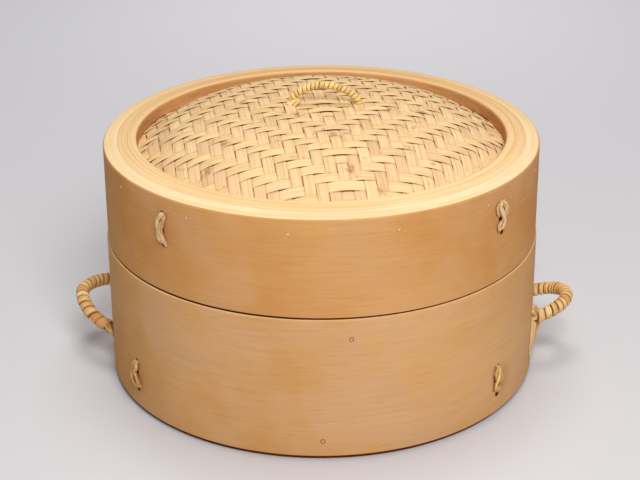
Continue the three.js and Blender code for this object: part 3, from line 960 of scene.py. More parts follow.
@dataclass
class Winding(SubAssembly):
    """A bent rattan core with flat peel wound round it, in millimetres and degrees."""

    name: str
    core_node: str
    wrap_node: str
    where: Matrix
    half: float
    reach: float
    power: float
    leg: float
    turns: int
    core: float
    peel: float
    start: float
    seed: int
    widths: Three
    lean: float = 0.0
    brown_from: int = 99
    finish: SplitStrip = PEEL
    play: float = 0.1
    least: float = 0.4
    shortest: float = 0.1
    lean_low: float = 0.7
    width_spread: Span = (0.86, 1.14)
    lift_spread: Span = (-0.15, 0.35)
    lift_share: float = 0.4
    age_spread: Span = (-0.6, 0.3)
    brown: float = 0.55
    steps: int = 24
    stations: int = 64
    fine: int = 600

    def __post_init__(self) -> None:
        """Measures the arch."""
        self.dice = random.Random(self.seed)
        self.line = [self.crown(pi * step / self.fine) for step in range(self.fine + 1)]
        self.lengths = [0.0]
        for before, after in zip(self.line, self.line[1:]):
            self.lengths.append(self.lengths[-1] + (after - before).length)

    def crown(self, turn: float) -> Vector:
        """Finds a point of the arch in its own plane.

        Args:
            turn: How far round it is, from 0 to pi.

        Returns:
            The point.
        """
        across, up = cos(turn), sin(turn)
        x = copysign(self.half * abs(across) ** self.power, across)
        lean = self.lean * (up + self.lean_low * max(across, 0.0) ** 2)
        return Vector((x - lean, self.reach * up, 0))

    def at(self, distance: float) -> tuple[Vector, Vector, Vector]:
        """Finds a station on the arch.

        Args:
            distance: How far along the arch.

        Returns:
            The point there, the way ahead and the way out of the bend.
        """
        distance = clamp(distance, 0.0, self.lengths[-1])
        high = min(bisect_right(self.lengths, distance), len(self.lengths) - 1)
        low = high - 1
        share = (distance - self.lengths[low]) / (self.lengths[high] - self.lengths[low])
        ahead = (self.line[high] - self.line[low]).normalized()
        return self.line[low].lerp(self.line[high], share), ahead, Vector((ahead.y, -ahead.x, 0))

    def stand(self, point: Vector) -> Vector:
        """Returns a point of the arch's own plane where the arch stands on the basket."""
        return self.where @ (point * MM) / MM

    def build(self) -> None:
        """Makes the core and the winding and places them."""
        whole = self.lengths[-1]
        line = [self.at(whole * step / self.stations)[0] for step in range(self.stations + 1)]
        line.insert(0, Vector((self.half - self.lean * self.lean_low, -self.leg, 0)))
        line.append(Vector((-self.half, -self.leg, 0)))
        form = Form()
        out = self.where.to_3x3() @ UP
        form.thread([self.stand(point) for point in line], out, lambda share: self.core, 1.0, self.seed)
        # The core's dark brown is partly painted shade in the gaps between the turns.
        self.place(form.build(f"{self.name}_core", CORE_AND_GAP_SHADE, sharp=50), Slot.RATTAN, self.core_node)
        wrap = self.wrap().build(f"{self.name}_wrap", self.finish)
        self.place(wrap, Slot.RATTAN, self.wrap_node)

    def turn_stops(self) -> list[float]:
        """Shares the arch out over the turns.

        Returns:
            Where each turn starts and the last one ends, from the start of the winding.
        """
        first, middle, last = self.widths
        widths = []
        for turn in range(self.turns):
            share = turn / (self.turns - 1) * 2 - 1
            width = middle + (last - first) / 2 * share + ((first + last) / 2 - middle) * share**2
            widths.append(width * self.dice.uniform(*self.width_spread))
        span = self.lengths[-1] - 2 * self.start
        stops = [0.0]
        for width in widths:
            stops.append(stops[-1] + width * span / sum(widths))
        return stops

    def wrap(self) -> Form:
        """Lays out the winding, with turns that differ a little in width, lie and age.

        Returns:
            The winding as one unbroken strand.
        """
        stops = self.turn_stops()
        lifts = [self.dice.uniform(*self.lift_spread) for _ in range(self.turns + 2)]
        ages = [max(self.dice.uniform(*self.age_spread), 0.0) for _ in range(self.turns + 1)]
        ages[self.brown_from :] = [self.brown] * len(ages[self.brown_from :])
        section = (
            (-1, -0.5), (-0.97, -0.1), (-0.82, 0.22), (-0.5, 0.46),
            (0, 0.56), (0.5, 0.46), (0.82, 0.22), (0.97, -0.1), (1, -0.5),
        )
        form = Form()
        run = 0.0
        total = self.turns * self.steps
        for step in range(total + 1):
            turn = min(step // self.steps, self.turns - 1)
            part = step / self.steps - turn
            wide = stops[turn + 1] - stops[turn]
            distance = self.start + stops[turn] + wide * part
            angle = tau * part
            point, ahead, out = self.at(distance)
            spoke = out * cos(angle) + UP * sin(angle)
            lift = lifts[turn] * (1 - part) + lifts[turn + 1] * part
            middle = self.core + self.play + self.peel / 2 + lift * self.peel * self.lift_share
            room = wide * self.bend(distance, wide, middle * cos(angle))
            half = max((room - 2 * self.play) / 2, self.least)
            run += tau * middle / self.steps
            for side, high in section:
                place = point + spoke * (middle + high * self.peel) + ahead * side * half
                fibre = (run, side * half, self.seed + turn * NUMBER_STEP)
                form.add(self.stand(place), fibre, edge=abs(side), age=ages[turn])
        form.join(total + 1, len(section))
        return form

    def bend(self, distance: float, wide: float, shift: float) -> float:
        """Works out how much room a turn has inside or outside the bend.

        Args:
            distance: Where the turn is along the arch.
            wide: Its width on the arch's own line.
            shift: How far off that line it lies.

        Returns:
            The room as a share of its width.
        """
        near, _, near_out = self.at(distance - wide / 2)
        far, _, far_out = self.at(distance + wide / 2)
        reached = (far - near).length
        if reached < self.shortest:
            return 1.0
        return ((far + far_out * shift) - (near + near_out * shift)).length / reached


@dataclass
class Tails(SubAssembly):
    """Loose ends of peel at a handle's root, in millimetres."""

    name: str
    node: str
    routes: Sequence[Sequence[Vector]]
    out: Vector
    width: float
    thickness: float
    finish: SplitStrip = PEEL
    age: float = 0.0
    tip: float = 0.25
    tip_from: float = 0.6
    number_step: float = 7.3

    def build(self) -> None:
        """Makes the ends as one piece and places it."""
        form = Form()
        thick = self.thickness / self.width
        for index, route in enumerate(self.routes):
            number = self.number_step * index
            form.thread(smooth_line(route), self.out, self.taper, thick, number, self.age)
        self.place(form.build(self.name, self.finish), Slot.RATTAN, self.node)

    def taper(self, share: float) -> float:
        """Returns half the width at a share of the length."""
        narrowed = (1 - self.tip) * max(share - self.tip_from, 0) / (1 - self.tip_from)
        return self.width / 2 * (1 - narrowed)


@dataclass
class Stitch(SubAssembly):
    """Strands of split cane laid over each other between two holes, in millimetres and degrees.

    Each strand follows points given as sideways, up and out of the wall from the stitch's middle.
    """

    name: str
    node: str
    azimuth: float
    z: float
    radius: float
    routes: Sequence[Route]
    seed: int
    finish: SplitStrip
    strand: float = 1.9
    strips: int = 3
    start_spread: Span = (-0.5, 0.5)
    twist_spread: Span = (0.7, 1.2)
    first_spread: Span = (1.0, 1.12)
    other_spread: Span = (0.4, 0.55)
    first_reach: float = 0.1
    other_reach: float = 0.72
    flatness: float = 0.55
    narrowing: float = 0.5
    ripple: float = 0.12
    ripples: float = 19.0
    strip_step: float = 0.11
    age_spread: Span = (-0.3, 0.35)

    def build(self) -> None:
        """Makes the stitch and places it."""
        dice = random.Random(self.seed)
        out, side = ways_from_wall(self.azimuth)
        middle = on_wall(self.azimuth, self.radius, self.z)
        form = Form()
        for number, route in enumerate(self.routes):
            core = smooth_line([middle + side * spot[0] + UP * spot[1] + out * spot[2] for spot in route])
            start = dice.uniform(*self.start_spread)
            twist = dice.choice((-1, 1)) * dice.uniform(*self.twist_spread) * pi
            for strip in range(self.strips):
                beat, size = dice.uniform(0, tau), self.strand * dice.uniform(*self.other_spread)
                if not strip:
                    size = self.strand * dice.uniform(*self.first_spread)
                reach = self.strand * (self.other_reach if strip else self.first_reach)
                line = []
                for step, place in enumerate(core):
                    turn = start + tau * strip / self.strips + twist * step / len(core)
                    outward = out * reach * self.flatness * sin(turn)
                    line.append(place + side * reach * cos(turn) + outward)

                def wide(share: float, beat: float = beat, size: float = size) -> float:
                    """Returns half the strip's width at a share of its length."""
                    narrow = self.narrowing * abs(2 * share - 1) ** 6
                    return size * (1 - narrow + self.ripple * sin(share * self.ripples + beat))

                shade = max(dice.uniform(*self.age_spread), 0.0)
                own = self.seed + number * NUMBER_STEP + strip * self.strip_step
                form.thread(line, out, wide, self.flatness, own, shade)
        self.place(form.build(self.name, self.finish), Slot.CANE, self.node)


LOOPED: tuple[Route, ...] = (
    (
        (0, 11.4, -4), (-0.2, 10.6, 0.8), (-2.8, 6.8, 1.8), (-3.4, 2.9, 2), (-2.7, -1.1, 2),
        (-2.4, -5.4, 1.8), (-1.6, -9.4, 1), (0, -12, -4),
    ),
    (
        (0.6, 11.4, -4), (3, 10.7, 0.8), (2.4, 7, 2), (0.9, 3.4, 2.6), (0.5, -0.4, 2.8),
        (1, -4, 2.4), (1.7, -8, 1.6), (3.2, -12.2, 0.4),
    ),
)
CROSSED: tuple[Route, ...] = (
    (
        (0, 12.4, -3), (0.1, 11.6, 0.3), (2, 8.2, 1.4), (2.6, 4.1, 1.6), (1.7, 0.9, 1.4),
        (-1.6, -2.3, 1.4), (-4.8, -5.1, 1), (-4.6, -8.9, 0.8), (-2.6, -11.4, -4),
    ),
    (
        (-1.6, 12.6, -4), (-4.1, 11.5, 1), (-4.6, 8.1, 2), (-3.4, 4, 2.6), (-1.3, -0.5, 2.8),
        (-1.4, -4.3, 2.4), (-3, -7.8, 1.6), (-3, -11.6, -4),
    ),
    ((-3.2, 12, -1), (-6.3, 10.3, 0.7), (-6.8, 6.7, 0.7), (-4, 1.4, 0.2)),
)
LEANING: tuple[Route, ...] = (
    (
        (-2, 12.4, -4), (-3.1, 8.9, 0.8), (-5.3, 3.5, 1.6), (-7.2, -2.4, 1.6), (-6, -6, 1.6),
        (-2.4, -9, 1.2), (1.4, -12, -4),
    ),
    (
        (-1.2, 12.4, -4), (0.4, 9.7, 1), (1.8, 7.3, 2.2), (-1.2, 2.2, 2.2), (0.8, -0.1, 2.4),
        (3.6, -3, 2.4), (4.1, -7.2, 1.6), (2, -12, -4),
    ),
)
LENS: tuple[Route, ...] = (
    ((-1, 13, -4), (-2.3, 11.3, 0.8), (-4.8, 8.1, 1.8), (-3.4, 3.1, 1.6), (-1, -1.4, 0.4)),
    (
        (-0.6, 13, -4), (0.7, 9.5, 0.8), (2.1, 4.9, 1.4), (3.1, -0.2, 1.6), (2.1, -4.5, 1.4),
        (-0.3, -7.4, 1), (-1.6, -11.4, -4),
    ),
    (
        (-0.8, 12.6, -3), (-0.5, 9.7, 0.8), (-1.1, 5.6, 1.8), (-2, 2.2, 2.2), (-4, -0.9, 2),
        (-3.7, -5.4, 1), (-2, -11.4, -4),
    ),
)


@dataclass
class Peg(SubAssembly):
    """The end of a bamboo peg in a wall, in millimetres and degrees."""

    name: str
    node: str
    azimuth: float
    z: float
    radius: float
    depth: float
    seed: int
    finish: SplitStrip
    size: float = 1.5
    proud: float = 0.25
    uneven: float = 0.07
    sides: int = 14

    def build(self) -> None:
        """Makes the peg and places it."""
        dice = random.Random(self.seed)
        out, side = ways_from_wall(self.azimuth)
        wave = [1 + dice.uniform(-self.uneven, self.uneven) for _ in range(self.sides)]
        rows = [(self.radius - self.depth, 1.0), (self.radius - self.proud, 1.0)]
        rows += [(self.radius + self.proud * high, share) for high, share in ((0.5, 0.9), (0.9, 0.6))]
        form = Form()
        for distance, share in rows:
            for corner in range(self.sides):
                turn = tau * corner / self.sides
                reach = self.size * share * wave[corner]
                across, up = reach * cos(turn), reach * sin(turn)
                place = out * distance + side * across + UP * (self.z + up)
                form.add(place, (across, up, self.seed * 0.61), edge=share)
        form.join(len(rows), self.sides)
        self.place(form.build(self.name, self.finish, sharp=50), Slot.PEG, self.node)


@dataclass(frozen=True)
class Dome:
    """The dome's outer surface, in millimetres."""

    edge_z: float = 175.1
    rise: float = 31.9
    power: float = 3.0
    bore: float = 136.5

    def height(self, radius: float) -> float:
        """Returns the height of the top at a distance from the axis."""
        return self.edge_z + self.rise * (1 - min(radius / self.bore, 1.0) ** self.power)

    def normal(self, place: Vector) -> Vector:
        """Finds the way out of the surface.

        Args:
            place: A point over or under it.

        Returns:
            The direction there.
        """
        radius = place.xy.length
        if not 0 < radius < self.bore:
            return UP
        slope = self.rise * self.power * radius ** (self.power - 1) / self.bore**self.power
        return Vector((slope * place.x / radius, slope * place.y / radius, 1)).normalized()


@dataclass
class WovenDome(SubAssembly):
    """The lid's twill of split strips in four mirrored quarters, and the leaf under it, dark brown as
    painted shade in the slits.
    """

    dome: Dome
    turn: float = 8.0
    middle: Span = (2.0, -5.0)
    pitch: float = 8.4
    width: float = 8.0
    thickness: float = 0.42
    sink: float = 1.1
    dip: float = 0.42
    bulge: float = 0.34
    reach: float = 141.0
    steps: int = 8
    seed: int = 11
    broader: float = 0.25
    width_spread: Span = (-0.05, 0.01)
    sway_spread: Span = (0.05, 0.2)
    lean_spread: Span = (-0.05, 0.05)
    age_spread: Span = (-0.3, 0.12)
    edge_fade: float = 6.0
    under: float = 0.35
    sway_pace: float = 0.55
    # Painted shade where a strip dips under the others.
    dip_shade: float = 0.9
    dip_shade_from: float = 0.2
    leaf_reach: float = 142.8
    leaf_drops: Span = (2.8, 4.0)
    leaf_rows: int = 24
    leaf_segments: int = 96

    def along_on_top(self, column: int, row: int) -> bool:
        """Says whether the front-to-back strip is the upper one at a crossing."""
        return (abs(column) + abs(row) + 1) % 4 in (0, 1)

    def lift(self, signs: list[bool], place: float) -> float:
        """Works out how far a strip stands over or under the weave's middle.

        Args:
            signs: For each crossing, whether this strip is the upper one.
            place: Where along the strip, in crossings.

        Returns:
            The height in millimetres.
        """
        first = last = min(max(round(place), 0), len(signs) - 1)
        above = signs[first]
        while first > 0 and signs[first - 1] == above:
            first -= 1
        while last < len(signs) - 1 and signs[last + 1] == above:
            last += 1
        count = last - first + 1
        arch = sin(pi * clamp((place - first + 0.5) / count))
        size = self.dip + self.bulge * min(count - 1, 2) * arch * (1.0 if above else self.under)
        return size * arch**0.5 * (1 if above else -1)

    def strips(self, along: bool) -> Form:
        """Lays out all the strips of one direction.

        Args:
            along: Whether they run front to back.

        Returns:
            The strips.
        """
        dice = random.Random(self.seed + along)
        front, right = ways_from_wall(self.turn)
        centre = Vector((*self.middle, 0))
        run, cross = (front, right) if along else (right, front)
        most = int(self.reach / self.pitch) + 2
        numbers = range(-most, most + 1)
        section = (
            (-1, 0.1), (-0.82, 0.46), (-0.3, 0.56), (0.3, 0.56),
            (0.82, 0.46), (1, 0.1), (0.9, -0.5), (-0.9, -0.5),
        )
        form = Form()
        for number in numbers:
            if along:
                signs = [self.along_on_top(number, other) for other in numbers]
            else:
                signs = [not self.along_on_top(other, number) for other in numbers]
            half = (self.width + self.broader * along) * (1 + dice.uniform(*self.width_spread)) / 2
            phase, sway = dice.uniform(0, tau), dice.uniform(*self.sway_spread)
            lean, tone = dice.uniform(*self.lean_spread), dice.uniform(0, 1000)
            age = max(dice.uniform(*self.age_spread), 0.0)
            places = []
            for step in range(-most * self.steps, most * self.steps + 1):
                spot = step / self.steps
                drift = sway * sin(spot * self.sway_pace + phase)
                flat = centre + run * spot * self.pitch + cross * (number * self.pitch + drift)
                if flat.length < self.reach:
                    places.append((spot, flat))
            if len(places) < 3:
                continue
            for spot, flat in places:
                lift = self.lift(signs, spot + most)
                height = lift * clamp((self.reach - flat.length) / self.edge_fade, 0.25) - self.sink
                # Random browning plus painted shade where the strip dips under the others.
                deep = min(age + self.dip_shade * clamp(self.dip_shade_from - lift / self.dip), 1.0)
                out = self.dome.normal(flat)
                for side, high in section:
                    foot = flat + cross * side * half
                    seat = foot + UP * self.dome.height(foot.length)
                    place = seat + out * (height + high * self.thickness + lean * side)
                    form.add(place, (spot * self.pitch, side * half, tone), edge=abs(side), age=deep)
            form.join(len(places), len(section))
        return form

    def build(self) -> None:
        """Makes both layers of strips and the leaf lining and places them."""
        for along, finish in ((True, ALONG_BAMBOO), (False, ACROSS_BAMBOO)):
            self.place(self.strips(along).build(finish.name, finish), Slot.WOVEN, "lid_weave")
        radii = [self.leaf_reach * step / self.leaf_rows for step in range(1, self.leaf_rows + 1)]
        upper, lower = self.leaf_drops
        rows = [(radius, self.dome.height(radius) - upper) for radius in radii]
        rows += [(radius, self.dome.height(radius) - lower) for radius in reversed(radii)]
        form = Form()
        for step in range(self.leaf_segments):
            for radius, z in rows:
                place = on_wall(360 * step / self.leaf_segments, radius, z)
                form.add(place, (place.x, place.y, 5.0))
        form.join(self.leaf_segments, len(rows), closed=True)
        self.place(form.build("leaf_lining_slit_shade", LEAF_AND_SLIT_SHADE, sharp=50), Slot.WOVEN, "lid_lining")


def box_of(node: str) -> tuple[Vector, Vector]:
    """Returns the lower and upper corner of a CAD node's box, in millimetres."""
    low, high = (Vector(corner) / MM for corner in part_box(node))
    return low, high


@dataclass
class WalledPart(SubAssembly):
    """A part of the basket whose outer wall carries stitches and pegs, in millimetres and degrees."""

    radius: float
    stitch_z: float
    stitches: tuple[float, ...]
    stitch_reach: float = 11.2
    stitch_hole: Three = (4.2, 4.8, 8.0)
    # Shallow grooves under the stitches, dark with the hole colour as painted shade under the cane.
    shade_groove: Three = (5.0, 16.0, 0.8)
    shade_groove_turn: float = 0.6
    peg_hole_depth: float = 3.0
    rub_offset: float = 2.0

    def stitch_holes(self) -> list[Hole]:
        """Lays out what the stitches need in the wall.

        Returns:
            The two holes of each stitch, and a shallow groove between them whose dark faces are painted
            shade under the cane.
        """
        holes = []
        for azimuth in self.stitches:
            for reach in (-self.stitch_reach, self.stitch_reach):
                holes.append(Hole(azimuth, self.stitch_z + reach, *self.stitch_hole))
        # Shallow grooves whose dark faces paint the shade under each stitch.
        shade_grooves = [Hole(azimuth - self.shade_groove_turn, self.stitch_z, *self.shade_groove) for azimuth in self.stitches]
        return holes + shade_grooves

    def peg_holes(self, azimuths: Iterable[float], z: float, wide: float) -> list[Hole]:
        """Returns the holes of the pegs, a little wider than the pegs."""
        return [Hole(azimuth, z, wide, wide, self.peg_hole_depth) for azimuth in azimuths]

    def rub_places(self) -> tuple[Spot, ...]:
        """Finds where the wood is rubbed.

        Returns:
            The places beside each stitch, in metres.
        """
        z = self.stitch_z - self.rub_offset
        turns = [azimuth + self.rub_offset for azimuth in self.stitches]
        return tuple(tuple(on_wall(turn, self.radius, z) * MM) for turn in turns)

    def add_stitches(self, shapes: Iterable[Sequence[Route]], seed: int, finish: SplitStrip) -> None:
        """Makes the stitches.

        Args:
            shapes: For each stitch, the routes of its strands.
            seed: The first stitch's seed.
            finish: Their finish.
        """
        part = self.body.value
        for index, (azimuth, shape) in enumerate(zip(self.stitches, shapes)):
            self.add(
                Stitch, f"{part}_lashing_{index + 1}", f"{part}_stitch_{index + 1}", azimuth, self.stitch_z,
                self.radius, shape, seed + index, finish,
            )

    def add_pegs(
        self, row: str, azimuths: Iterable[float], z: float, depth: float, seed: int, finish: SplitStrip,
    ) -> None:
        """Makes a row of pegs.

        Args:
            row: What stands before the number in their names.
            azimuths: Where they are round the wall.
            z: Their height.
            depth: How deep they go in.
            seed: The first peg's seed.
            finish: Their finish.
        """
        part = self.body.value
        for index, azimuth in enumerate(azimuths):
            number = f"{row}{index + 1}"
            self.add(
                Peg, f"{part}_pin_{number}", f"{part}_peg_{number}", azimuth, z, self.radius, depth,
                seed + index, finish,
            )


@dataclass
class Tray(WalledPart):
    """The lower basket: hoops, floor, side handles, stitches and pegs, in millimetres."""

    radius: float = 162.3
    stitch_z: float = 29.2
    stitches: tuple[float, ...] = (-56.4, 51.5, 128, -122)
    bore: float = 150.8
    height: float = 109.8
    lip_radius: float = 150.5
    lip_bore: float = 143.5
    lip_top: float = 120.5
    floor_z: float = 24.6
    foot_bore: float = 136.5
    foot_low: float = 1.5
    foot_top: float = 24.3
    notch_reach: float = 170.0
    notch_room: float = 0.3
    notch_top: float = 2.0
    pegs_high: tuple[float, ...] = (7, 127, -113)
    pegs_low: tuple[float, ...] = (0, 140, -140)
    peg_high_z: float = 94.8
    peg_low_z: float = 15.3
    peg_depth: float = 14.0

    def build(self) -> None:
        """Makes every piece of the tray."""
        self.build_hoops()
        self.build_floor()
        self.build_handles()
        self.add_stitches((LEANING, LENS, CROSSED, LEANING), 20, OLD_STITCH_CANE)
        self.add_pegs("high_", self.pegs_high, self.peg_high_z, self.peg_depth, 30, OLD_PEG_END)
        self.add_pegs("low_", self.pegs_low, self.peg_low_z, self.peg_depth, 30, OLD_PEG_END)

    def build_hoops(self) -> None:
        """Makes the wall, the lip and the foot ring."""
        holes = self.stitch_holes() + self.peg_holes(self.pegs_high, self.peg_high_z, wide=3.5)
        holes += self.peg_holes(self.pegs_low, self.peg_low_z, wide=3.6)
        wood = BentWood(
            "tray_wood", dark=tint("d09a60"), light=tint("e2b076"), cool=tint("d4a67c"),
            rubs=self.rub_places(),
        )
        # The wall's foot step and the stripe on its top are painted with shade.
        self.add(
            Hoop, "tray_wall", "tray_outer_hoop", self.bore, self.radius, 0.0, self.height,
            bottom_round=0.8, top_round=1.2, bare_top=True, bare_edge=0.5, step_in=3.0, step_up=3.2,
            dark_top=True, finish=wood, holes=holes,
        )
        self.add(
            Hoop, "tray_lip", "tray_inner_hoop", self.lip_bore, self.lip_radius, self.floor_z, self.lip_top,
            top_round=1.4, bore_round=1.0, bare_top=True,
        )
        across = Vector((self.notch_reach, self.notch_room, self.notch_room))
        notches = []
        for number in (1, 2, 3):
            low, high = box_of(f"tray_crossbar_{number}")
            notches.append((low - across, high + across + UP * self.notch_top))
        self.add(
            Hoop, "tray_ledge", "tray_foot_ring", self.foot_bore, self.lip_radius, self.foot_low,
            self.foot_top, notches=notches,
        )

    def build_floor(self) -> None:
        """Makes the crossbars and the slats where the frame has them."""
        stations = 12
        for name, node, count, along, first, step, rounding in (
            ("tray_bar", "tray_crossbar", 3, 0, 40.0, 1.0, 1.2),
            ("floor_slat", "tray_slat", 11, 1, 60.0, 1.7, 0.7),
        ):
            across = Vector((along, 1 - along, 0))
            for index in range(count):
                low, high = box_of(f"{node}_{index + 1}")
                size = high - low
                path = [(low + high) / 2 for _ in range(stations + 1)]
                for station, place in enumerate(path):
                    place[along] = low[along] + (high[along] - low[along]) * station / stations
                self.add(
                    Lath, f"{name}_{index + 1}", f"{node}_{index + 1}", path, size[1 - along], size.z,
                    across, first + index * step, rounding,
                )

    def add_handle(
        self, side: str, where: Three, tilt: float, roll: float, **sizes: object,
    ) -> None:
        """Makes a side handle without its loose ends.

        Args:
            side: The side that its names have.
            where: Its place round the wall, its height and half the distance between its roots.
            tilt: How far its outer end tips up.
            roll: How far it turns about the way out of the wall.
            **sizes: Its other sizes.
        """
        azimuth, z, half = where
        chord = sqrt(self.radius**2 - half**2)
        turn = Matrix.Rotation(radians(azimuth) - pi, 4, "Z")
        turn = turn @ Matrix.Rotation(radians(roll), 4, "Y")
        turn = turn @ Matrix.Rotation(radians(tilt), 4, "X")
        stand = Matrix.Translation(on_wall(azimuth, chord, z) * MM) @ turn
        self.add(
            Winding, f"{side}_handle", f"tray_handle_core_{side}", f"tray_handle_wrap_{side}", stand, half,
            leg=9.0, peel=1.4, start=1.0, **sizes,
        )

    def build_handles(self) -> None:
        """Makes both side handles with their loose ends."""
        self.add_handle(
            "left", (-95.3, 34.4, 34.4), 21.6, -5, reach=32.3, power=1.3, turns=17, core=3.5, seed=3,
            widths=(0.85, 0.9, 1.25), brown_from=15,
        )
        self.add_handle(
            "right", (90, 39.2, 24), 18.6, -2, reach=30.4, power=0.93, turns=19, core=3.4, seed=4,
            widths=(1.4, 0.8, 1.1),
        )
        fan = (
            ((80, 0.8, 45.8), (79, 0.7, 36.9), (77, 0.7, 27.8), (75, 0.5, 17.9)),
            ((82, 2.6, 41.3), (81, 2, 33.3), (78.5, 1.2, 25.7), (76, 0.6, 17.3)),
            ((84, 5.9, 38.5), (83, 4.6, 32.2), (80.5, 2.5, 25.4), (77, 0.7, 17.5)),
            ((79, 0.8, 52.7), (81, 2.8, 47.9), (84, 5.8, 39.4), (86, 8, 33.5)),
            ((78, 0.8, 51.1), (80.5, 2.6, 45.2), (83.5, 5.5, 36.7)),
        )
        tips = (
            ((-82, 5.5, 35.5), (-81, 3.6, 33.7), (-80, 1.6, 31.9), (-78, 0.4, 31)),
            ((-83, 4.5, 37.5), (-82, 3.2, 35.6), (-80, 1.4, 34), (-78.5, 0.6, 33)),
        )
        for name, side, routes, facing, width, thickness, age in (
            ("right_handle_ends", "right", fan, 52, 5.2, 1.8, 0.0),
            ("left_handle_end", "left", tips, -60, 4.2, 2.2, 0.25),
        ):
            node, out = f"tray_handle_wrap_{side}", ways_from_wall(facing)[0]
            self.add(Tails, name, node, self.beside(routes), out, width, thickness, age=age)

    def beside(self, routes: Iterable[Route]) -> list[list[Vector]]:
        """Turns routes given by azimuth, distance off the wall and height into points."""
        return [[on_wall(spot[0], self.radius + spot[1], spot[2]) for spot in route] for route in routes]


@dataclass
class Lid(WalledPart):
    """The lid: hoops, woven dome, ribs, arch, stitches and pegs, in millimetres."""

    radius: float = 161.5
    stitch_z: float = 159.4
    stitches: tuple[float, ...] = (-42.4, 51, 137, -134)
    bore: float = 151.0
    bottom: float = 110.3
    top: float = 183.2
    rim_rise: float = 3.2
    rim_planed: float = 0.9
    middle_bore: float = 143.4
    middle_low: float = 121.8
    ring_radius: float = 143.1
    ring_bore: float = 136.5
    ring_low: float = 175.4
    seat_low: float = 150.7
    seat_top: float = 170.7
    hoop_room: float = 0.06
    gap: float = 0.45
    gap_more: float = 0.6
    gap_azimuth: float = -35.0
    gap_width: float = 50.0
    peg_z: float = 173.0
    peg_first: float = -61.2
    peg_step: float = 26.6
    peg_count: int = 13
    peg_depth: float = 17.0
    rib_width: float = 12.0
    rib_thickness: float = 3.0
    rib_room: float = 0.6
    rib_steps: int = 40
    arch_half: float = 25.5
    dome: Dome = Dome()

    def rim(self, radius: float) -> float:
        """Returns the rim's height at a distance from the axis."""
        return self.top + self.rim_rise * (self.radius - radius) / (self.radius - self.ring_bore)

    def lower_edge(self, azimuth: float) -> float:
        """Returns how far the wall's lower edge stands off the tray, most at the front left."""
        away = (azimuth - self.gap_azimuth + 180) % 360 - 180
        return self.gap + self.gap_more * exp(-((away / self.gap_width) ** 2))

    def pegs(self) -> list[float]:
        """Returns the azimuths of the pegs."""
        return [self.peg_first + index * self.peg_step for index in range(self.peg_count)]

    def build(self) -> None:
        """Makes every piece of the lid."""
        self.build_hoops()
        self.add(WovenDome, self.dome)
        self.build_ribs()
        self.build_arch()
        self.add_stitches((LOOPED, CROSSED, LOOPED, LENS), 50, STITCH_CANE)
        self.add_pegs("", self.pegs(), self.peg_z, self.peg_depth, 70, PEG_END)

    def build_hoops(self) -> None:
        """Makes the four hoops of the rim."""
        outer = {
            "top_round": 2.0, "bore_round": 0.15, "bare_edge": 0.9, "low_rise": self.lower_edge,
            "finish": BentWood("lid_wood", rubs=self.rub_places()),
            "holes": self.stitch_holes() + self.peg_holes(self.pegs(), self.peg_z, wide=3.12),
        }
        middle = {"top_round": 0.2, "bore_round": 0.2}
        inner = {"top_round": 0.2, "bore_round": 3.0}
        middle_radius, inner_radius = self.bore - self.hoop_room, self.middle_bore - self.hoop_room
        for name, node, bore, radius, bottom, more in (
            ("lid_wall", "lid_outer_hoop", self.bore, self.radius, self.bottom, outer),
            ("lid_liner", "lid_middle_hoop", self.middle_bore, middle_radius, self.middle_low, middle),
            ("lid_ring", "lid_inner_ring", self.ring_bore, inner_radius, self.ring_low, inner),
        ):
            self.add(
                Hoop, name, node, bore, radius, bottom, self.rim(radius), self.rim(bore), bare_top=True,
                high_front=self.rim_planed, **more,
            )
        seat = (self.ring_bore, self.ring_radius, self.seat_low, self.seat_top)
        self.add(Hoop, "lid_seat", "lid_seat_ring", *seat)

    def build_ribs(self) -> None:
        """Makes the two bent ribs under the dome."""
        for name, drop, along in (
            ("rib_across", 6.2, Vector((1, 0, 0))),
            ("rib_along", 9.5, Vector((0, 1, 0))),
        ):
            path = []
            for step in range(self.rib_steps + 1):
                reach = (self.ring_bore - self.rib_room) * (2 * step / self.rib_steps - 1)
                path.append(along * reach + UP * (self.dome.height(abs(reach)) - drop))
            across = Vector((along.y, along.x, 0))
            sizes = (self.rib_width, self.rib_thickness)
            self.add(Lath, name, f"lid_{name}", path, *sizes, across, number=80.0 + drop)

    def build_arch(self) -> None:
        """Makes the small arched handle with its loose ends."""
        offset = Vector((4, -1, 0))
        foot = offset + UP * self.dome.height(self.arch_half + offset.x)
        where = Matrix.Translation(foot * MM) @ Matrix.Rotation(pi / 2, 4, "X")
        self.add(
            Winding, "lid_arch", "lid_handle_core", "lid_handle_wrap", where, self.arch_half, reach=14.8,
            power=1.2, leg=10.5, turns=19, core=1.75, peel=0.9, start=0.5, seed=5,
            widths=(0.9, 1.05, 1.15), lean=2.6, finish=ARCH_PEEL,
        )
        corner = foot - Vector((self.arch_half, 0, 0))
        ends = (
            ((5.2, -1.8, 4.8), (3.0, -2.8, 2.8), (1.0, -3.6, 0.6)),
            ((1.8, -1.6, 4.6), (-0.6, -2.4, 2.6), (-2.6, -3.4, 0.5)),
        )
        routes = [[corner + Vector(place) for place in route] for route in ends]
        self.add(
            Tails, "lid_arch_end", "lid_handle_wrap", routes, Vector((0, -0.5, 0.86)), 5.0, 0.8,
            finish=ARCH_PEEL, tip=0.95,
        )


